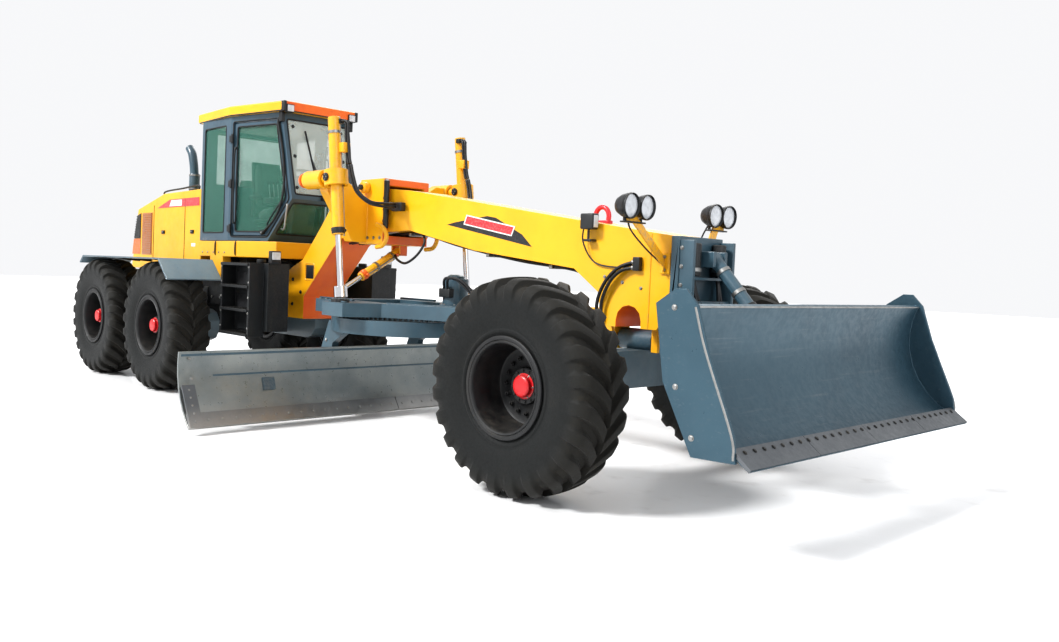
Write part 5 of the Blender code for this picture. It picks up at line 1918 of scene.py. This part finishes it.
  def inside(self) -> None:
    """Floor mat, console, wheel, levers, seat and headlining."""
    paint = self.paint
    softened("console", paint.plastic, self.body, Slot.PLASTIC, .016, 3)
    form = Form("cab_controls", paint.plastic, paint.gasket, paint.steel, paint.cloth)
    form.add(block((-2.95, -.6, 1.866), (-1.72, .6, 1.874), .003), 1)
    axis = unit((-.42, 0, .9))
    centre = np.array([-1.84, 0, 2.7])
    u, v = square_to(axis)
    turn = np.linspace(0, 2 * math.pi, 49)
    circle = centre + .195 * (np.cos(turn)[:, None] * u + np.sin(turn)[:, None] * v)
    form.add(carried(ring(.015, 12), circle, caps=False))
    for angle in (math.pi / 2, math.pi * 7 / 6, math.pi * 11 / 6):
      tip = centre + .19 * (math.cos(angle) * u + math.sin(angle) * v)
      form.add(bar(centre - axis * .03, tip, .01, 12), 2)
    form.add(turned([(0, 0), (.045, 0), (.055, -.02), (.04, -.05), (0, -.05)], centre, axis, 28))
    form.add(bar(centre - axis * .04, centre - axis * .34, .026, 20))
    for s in (-1, 1):
      for index in range(4):
        foot = np.array([-1.86 - index * .045, s * (.17 + .035 * index), 2.42])
        head = foot + [-.03, s * .01, .2]
        form.add(bar(foot, head, .007, 10), 2)
        form.add(turned([(0, .028), (.014, .024), (.018, .008), (.014, -.016), (.006, -.022), (0, -.022)], head, UP,
            18))
      box_low, box_high = sorted((s * .13, s * .35))
      form.add(block((-2.06, box_low, 2.34), (-1.8, box_high, 2.43), .016))
      form.add(bar((-1.92, s * .24, 1.87), (-1.92, s * .24, 2.36), .026, 16))
      low, high = sorted((s * .262, s * .325))
      form.add(block((-2.46, low, 2.42), (-2.12, high, 2.475), .018))
      form.add(bar((-2.42, s * .29, 2.2), (-2.42, s * .29, 2.43), .014, 12))
    form.add(block((-3, -.56, 3.345), (-1.55, .56, 3.352), .003), 3)
    form.build(self.body, Slot.PLASTIC)
    mount = Form("seat_pedestal", paint.plastic, paint.gasket, paint.steel)
    mount.add(block((-2.5, -.2, 1.868), (-2.16, .2, 1.91), .012))
    for index in range(6):
      z = 1.915 + index * .034
      mount.add(block((-2.47 + .006 * (index % 2), -.175, z), (-2.19, .175, z + .03), .013), 1)
    mount.add(block((-2.52, -.21, 2.125), (-2.12, .21, 2.172), .014))
    shell = np.array([(-2.545, 2.2), (-2.515, 2.24), (-2.575, 2.92), (-2.605, 2.93), (-2.635, 2.9)])
    mount.add(plate(shell, .4, (0, .2, 0), AHEAD, UP))
    mount.build(self.body, Slot.PLASTIC, "seat", bevel=.004)
    Cushion("seat_base_cushion", np.array([-2.265, 0, 2.245]), np.array([.996, 0, .087]),
        np.array([-.087, 0, .996]), (.44, .44, .115)).build(paint, self.body)
    back = unit((-.09, 0, 1))
    Cushion("seat_back_cushion", np.array([-2.515, 0, 2.625]), back, np.cross(np.array([0, 1, 0]), back),
        (.6, .43, .085)).build(paint, self.body)

  def build(self) -> None:
    """Builds the cab's pieces."""
    self.shell()
    self.doors()
    self.roof()
    self.inside()
    LOG.info("cab")


# ---- rear frame, hood and steps
@dataclass
class RearBody:
  """Hood with louvres and stripes, grille, exhaust, platform, frame rails and steps."""

  paint: Palette
  body: str = "rear_frame"
  hood_half: float = .66

  def hood(self) -> None:
    """Rounded hood with panel seams, louvre bank, grille panel, latch, stripe and handles."""
    paint = self.paint
    softened("hood", paint.yellow, self.body, Slot.YELLOW, .018, 4)
    dress("engine_block", paint.iron)
    form = Form("hood_fittings", paint.black, paint.louvre, paint.orange, paint.steel, paint.yellow,
        paint.white_mark)
    along, up = np.array([1, 0, 0]), np.array([0, 0, 1])
    for s in (-1, 1):
      y = s * (self.hood_half + .0015)
      origin = np.array([0, y, 0])
      low, high = sorted((s * (self.hood_half - .004), s * (self.hood_half + .004)))
      form.add(block((-5.03, low, 1.66), (-4.67, high, 2.28), .003), 1)
      for z in np.linspace(1.69, 2.25, 17):
        slat = [(-5.01, z), (-4.69, z), (-4.69, z + .02), (-5.01, z + .02)]
        form.add(plate(slat, .012, origin + [0, s * .006 + (.006 if s > 0 else .006), 0], along, up), 1)
      panel = [(-5.322, 1.9), (-5.08, 1.9), (-5.08, 2.28), (-5.215, 2.245)]
      form.add(plate(panel, .006, origin + [0, .003, 0], along, up))
      for z in np.linspace(1.925, 2.22, 9):
        near = -5.3 + max(0, z - 1.95) * .28
        slat = [(near, z), (-5.095, z), (-5.095, z + .014), (near, z + .014)]
        form.add(plate(slat, .012, origin + [0, s * .006 + .006, 0], along, up))
      patch = [(-5.375, 1.67), (-5.08, 1.67), (-5.08, 1.895), (-5.328, 1.895)]
      form.add(plate(patch, .005, origin + [0, .0025, 0], along, up), 2)
      for x in (-4.62, -3.6):
        form.add(carried(ring(.0045, 6), row((x, y, 1.5), (x, y, 2.44 if x > -4.4 else 2.38), 6)))
      form.add(carried(ring(.0045, 6), row((-5.05, y, 1.6), (-3.14, y, 1.6), 8)))
      for x in (-4.28, -3.36):
        low, high = sorted((s * (self.hood_half + .001), s * (self.hood_half + .016)))
        form.add(block((x - .045, low, 1.965), (x + .045, high, 2.015), .006))
        form.add(bar((x, y, 1.99), (x, y + s * .022, 1.99), .014, 16), 3)
      mark = [(-3.38, 1.79), (-3.26, 1.79), (-3.26, 1.835), (-3.38, 1.835)]
      form.add(plate(mark, .003, origin + [0, .0015, 0], along, up), 5)
      form.add(bolts(row((-4.56, y, 1.53), (-3.2, y, 1.53), 7), (0, s, 0), .011, .007), 3)
      grip = [(-4.4, s * .6, 2.5), (-4.38, s * .6, 2.575), (-3.8, s * .6, 2.6), (-3.34, s * .6, 2.62),
          (-3.32, s * .6, 2.545)]
      form.add(tube(grip, .012, 12, 6))
    form.add(turned([(0, .075), (.05, .075), (.075, .055), (.078, 0), (.06, -.02), (0, -.02)], (-4.78, 0, 2.44),
        (-.2, 0, .98), 32))
    form.build(self.body, Slot.YELLOW)
    grille = Form("grille_slats", paint.black, paint.steel, paint.red_lens, paint.yellow, paint.amber)
    for z in np.linspace(1.53, 2.22, 17):
      x = -5.388 + (z - 1.48) * .2273
      grille.add(block((x - .01, -.6, z), (x + .03, .6, z + .014), .004, 2))
    for y in (-.615, 0, .615):
      line = row((-5.392, y, 1.5), (-5.222, y, 2.245), 3)
      grille.add(carried([(-.012, -.012), (.012, -.012), (.012, .012), (-.012, .012)], line))
    for s in (-1, 1):
      low, high = sorted((s * .46, s * .6))
      grille.add(block((-5.419, low, 1.33), (-5.39, high, 1.41), .01))
      grille.add(block((-5.4195, low + .008, 1.338), (-5.405, (low + high) / 2, 1.402), .005), 2)
      grille.add(block((-5.4195, (low + high) / 2 + .004, 1.338), (-5.405, high - .008, 1.402), .005), 4)
    grille.build(self.body, Slot.DARK, "rear_grille")

  def stripe(self, side: Side) -> None:
    """The red band with a blank pale panel along the hood's top.

    Args:
      side: the machine's side.
    """
    paint, s = self.paint, side.value
    form = Form(f"hood_stripe_{side.word}", paint.red_mark, paint.white_mark)
    band = [(-4.506, 2.335), (-3.169, 2.341), (-3.177, 2.452), (-4.091, 2.448)]
    patch = [(-4.1, 2.352), (-3.7, 2.352), (-3.7, 2.436), (-4.04, 2.436)]
    for outline, proud, finish in ((band, .0025, 0), (patch, .004, 1)):
      form.add(plate(outline, .0014, (0, s * (self.hood_half + proud), 0), AHEAD, UP), finish)
    form.build(self.body, Slot.YELLOW)

  def exhaust(self) -> None:
    """Exhaust pipe with its sleeve, clamps and mitred mouth, and the air cleaner."""
    paint = self.paint
    path = [(-3.88, -.4, 2.56), (-3.88, -.4, 2.72), (-3.9, -.4, 2.88), (-3.93, -.4, 3), (-3.98, -.4, 3.12),
        (-4.06, -.4, 3.2)]
    form = Form("exhaust_pipe", paint.slate, paint.steel, paint.black)
    line = smoothed(path, 8)
    form.add(carried(ring(.06, 28), line))
    sleeve = [(.066, 0), (.074, .01), (.074, .24), (.064, .26), (.058, .24), (.058, 0)]
    form.add(turned(sleeve, (-3.88, -.4, 2.565), UP, 36))
    for z in (2.6, 2.79):
      form.add(turned([(.079, .022), (.079, 0), (.07, 0), (.07, .022)], (-3.88, -.4, z), UP, 32), 1)
    out = unit((-.08, 0, .08))
    form.add(turned([(0, .003), (.052, .003), (.052, -.002), (0, -.002)], (-4.062, -.4, 3.202), out, 28), 2)
    form.build(self.body, Slot.DARK, "exhaust_stack")
    cleaner = Form("air_cleaner", paint.black, paint.steel)
    bowl = [(0, .24), (.075, .235), (.098, .2), (.1, .12), (.085, .1), (.05, .085), (.046, 0), (0, 0)]
    cleaner.add(turned(bowl, (-3.72, .34, 2.548), UP, 36))
    cleaner.add(turned([(.054, .06), (.054, .042), (.044, .042), (.044, .06)], (-3.72, .34, 2.548), UP, 28), 1)
    cleaner.build(self.body, Slot.DARK)

  def rails(self) -> None:
    """Rounded frame, platform, counterweight bolts, hitch and the lines under the cab."""
    paint = self.paint
    softened("rear_frame", paint.black, self.body, Slot.DARK, .01)
    softened("cab_platform", paint.yellow, self.body, Slot.YELLOW, .01, 3)
    form = Form("frame_fittings", paint.black, paint.steel, paint.yellow, paint.hose)
    for s in (-1, 1):
      form.add(bolts(row((-5.1, s * .4205, 1.12), (-2.5, s * .4205, 1.12), 12), (0, s, 0), .014, .011), 1)
      form.add(bolts(row((-5.33, s * .6205, 1.08), (-5.33, s * .6205, 1.34), 3), (0, s, 0), .016, .012), 1)
      for x in (-2.6, -2.07):
        form.add(tube([(x, s * .66, 1.675), (x, s * .705, 1.7), (x, s * .705, 1.84), (x, s * .68, 1.862)], .01, 10,
            4))
      form.add(bolts(row((-2.96, s * .7005, 1.72), (-2.36, s * .7005, 1.72), 5), (0, s, 0), .01, .007), 1)
      for index in range(3):
        z = 1.5 + .045 * index
        form.add(tube([(-2.9, s * .46, z), (-2.6, s * .54, z - .02), (-2.36, s * .52, z - .05),
            (-2.1, s * .36, 1.4)], .014, 10), 3)
      form.add(block((-2.98, s * .3 - .12, 1.44), (-2.48, s * .3 + .12, 1.62), .02))
    form.add(block((-5.4195, -.1, 1.03), (-5.36, .1, 1.13), .01))
    form.add(turned([(.05, .036), (.05, 0), (0, 0), (0, .036)], (-1.8, 0, 1.502), UP, 28))
    form.add(bolts(circle_of((-1.8, 0, 1.5015), UP, .095, 6), UP, .01, .009), 1)
    form.build(self.body, Slot.DARK)

  def steps(self) -> None:
    """Rounded side tanks and ladders with grip treads, chains, lamp and filler."""
    paint = self.paint
    for side in Side:
      s, word = side.value, side.word
      softened(f"side_steps_{word}", paint.black, self.body, Slot.CHASSIS, .008)
      form = Form(f"step_fittings_{word}", paint.black, paint.steel, paint.lens, paint.plastic)
      for z in (.76, 1.04, 1.31, 1.565):
        for x in np.linspace(-1.66, -1.14, 9):
          low, high = sorted((s * .895, s * 1.07))
          form.add(block((x, low, z + .0305), (x + .014, high, z + .0365), .002, 1))
      for z in (1.1, 1.36):
        low, high = sorted((s * .879, s * .886))
        form.add(block((-1.66, low, z - .07), (-1.16, high, z + .13), .003), 3)
      form.add(bar((-1.36, s * .74, 1.6), (-1.36, s * .74, 1.645), .055, 32))
      form.add(bolts(row((-1.72, s * 1.0605, .85), (-1.72, s * 1.0605, 1.55), 5), (0, s, 0), .01, .008), 1)
      form.add(bolts(row((-1.08, s * 1.0605, .85), (-1.08, s * 1.0605, 1.55), 5), (0, s, 0), .01, .008), 1)
      low, high = sorted((s * .74, s * .87))
      form.add(block((-.985, low, 1.6), (-.915, high, 1.745), .012), 3)
      form.add(block((-.922, low + .012, 1.645), (-.908, high - .012, 1.73), .005), 2)
      form.build(self.body, Slot.CHASSIS)

  def build(self) -> None:
    """Builds the rear body's pieces."""
    self.hood()
    for side in Side:
      self.stripe(side)
    self.exhaust()
    self.rails()
    self.steps()
    LOG.info("rear body")


# ---- studio
@dataclass
class Studio:
  """Plain pale floor, soft lights and the camera."""

  place: Point = (7.883, -6.074, 1.608)
  yaw: float = 139.439
  pitch: float = -1.957
  roll: float = 2.198
  focal: float = 30.23
  shift: tuple[float, float] = (.0976, -.0205)
  floor_half: float = 60

  def floor(self) -> None:
    """A wide flat floor, finely shaded, a pale matt grey."""
    steps = np.linspace(-self.floor_half, self.floor_half, 13)
    x, y = np.meshgrid(steps, steps, indexing="ij")
    points = np.stack([x, y, np.zeros_like(x)], -1).reshape(-1, 3)
    mesh = bpy.data.meshes.new("studio_floor")
    mesh.from_pydata(points.tolist(), [], grid_faces(13, 13))
    mesh.materials.append(Plain("studio_floor", (.86, .86, .86), .75, 0, 3, 0, 0, .2).make())
    obj = bpy.data.objects.new("studio_floor", mesh)
    bpy.context.scene.collection.objects.link(obj)

  def light(self, name: str, place: Point, aim: Point, size: float, power: float, tint: Colour) -> None:
    """A square area light.

    Args:
      name: its name.
      place: where it stands.
      aim: where it points.
      size: its width.
      power: its power in watts.
      tint: its colour.
    """
    data = bpy.data.lights.new(name, "AREA")
    data.shape, data.size, data.energy, data.color = "SQUARE", size, power, tint
    obj = bpy.data.objects.new(name, data)
    obj.location = place
    obj.rotation_euler = (Vector(aim) - Vector(place)).to_track_quat("-Z", "Y").to_euler()
    bpy.context.scene.collection.objects.link(obj)

  def sun(self, name: str, towards: Point, strength: float, spread: float) -> None:
    """A distant soft light.

    Args:
      name: its name.
      towards: direction from the machine to the light.
      strength: its strength.
      spread: its apparent width in degrees.
    """
    data = bpy.data.lights.new(name, "SUN")
    data.energy, data.angle = strength, math.radians(spread)
    obj = bpy.data.objects.new(name, data)
    obj.rotation_euler = Vector(towards).to_track_quat("Z", "Y").to_euler()
    bpy.context.scene.collection.objects.link(obj)

  def world(self) -> None:
    """An even, nearly white surrounding."""
    world = bpy.data.worlds.new("studio_world")
    world.use_nodes = True
    background = world.node_tree.nodes["Background"]
    background.inputs["Color"].default_value = (.98, .985, 1, 1)
    background.inputs["Strength"].default_value = .8
    bpy.context.scene.world = world

  def camera(self) -> None:
    """The camera, turned by yaw and pitch and then rolled about its own axis."""
    yaw, pitch, roll = (math.radians(a) for a in (self.yaw, self.pitch, self.roll))
    ahead = np.array([math.cos(pitch) * math.cos(yaw), math.cos(pitch) * math.sin(yaw), math.sin(pitch)])
    right = unit(np.cross(ahead, UP))
    up = np.cross(right, ahead)
    turned_right = right * math.cos(roll) + up * math.sin(roll)
    turned_up = up * math.cos(roll) - right * math.sin(roll)
    data = bpy.data.cameras.new("studio_camera")
    data.sensor_width, data.lens = 36, self.focal
    data.shift_x, data.shift_y = self.shift
    data.clip_end = 500
    obj = bpy.data.objects.new("studio_camera", data)
    matrix = Matrix(np.stack([turned_right, turned_up, -ahead], -1).tolist()).to_4x4()
    matrix.translation = Vector(self.place)
    obj.matrix_world = matrix
    bpy.context.scene.collection.objects.link(obj)
    bpy.context.scene.camera = obj

  def build(self) -> None:
    """Sets the whole studio up."""
    self.world()
    self.floor()
    self.camera()
    self.sun("key_light", (-.3, -.8, .72), 3.5, 12)
    self.sun("back_light", (-.5, .7, .6), .7, 30)
    self.light("front_light", (14, -3, 6), (2, 0, 1.2), 7, 380, (.95, .97, 1))
    scene = bpy.context.scene
    scene.view_settings.view_transform = "Standard"
    scene.view_settings.look = "Medium High Contrast"
    LOG.info("studio")


def main() -> None:
  """Builds the studio and every sub-assembly."""
  logging.basicConfig(level=logging.INFO, format="%(message)s")
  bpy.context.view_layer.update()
  Studio().build()
  paint = Palette()
  for assembly in (Undercarriage(paint), FrontFrame(paint), WorkGear(paint), Cab(paint), RearBody(paint)):
    assembly.build()


if __name__ == "__main__":
  main()
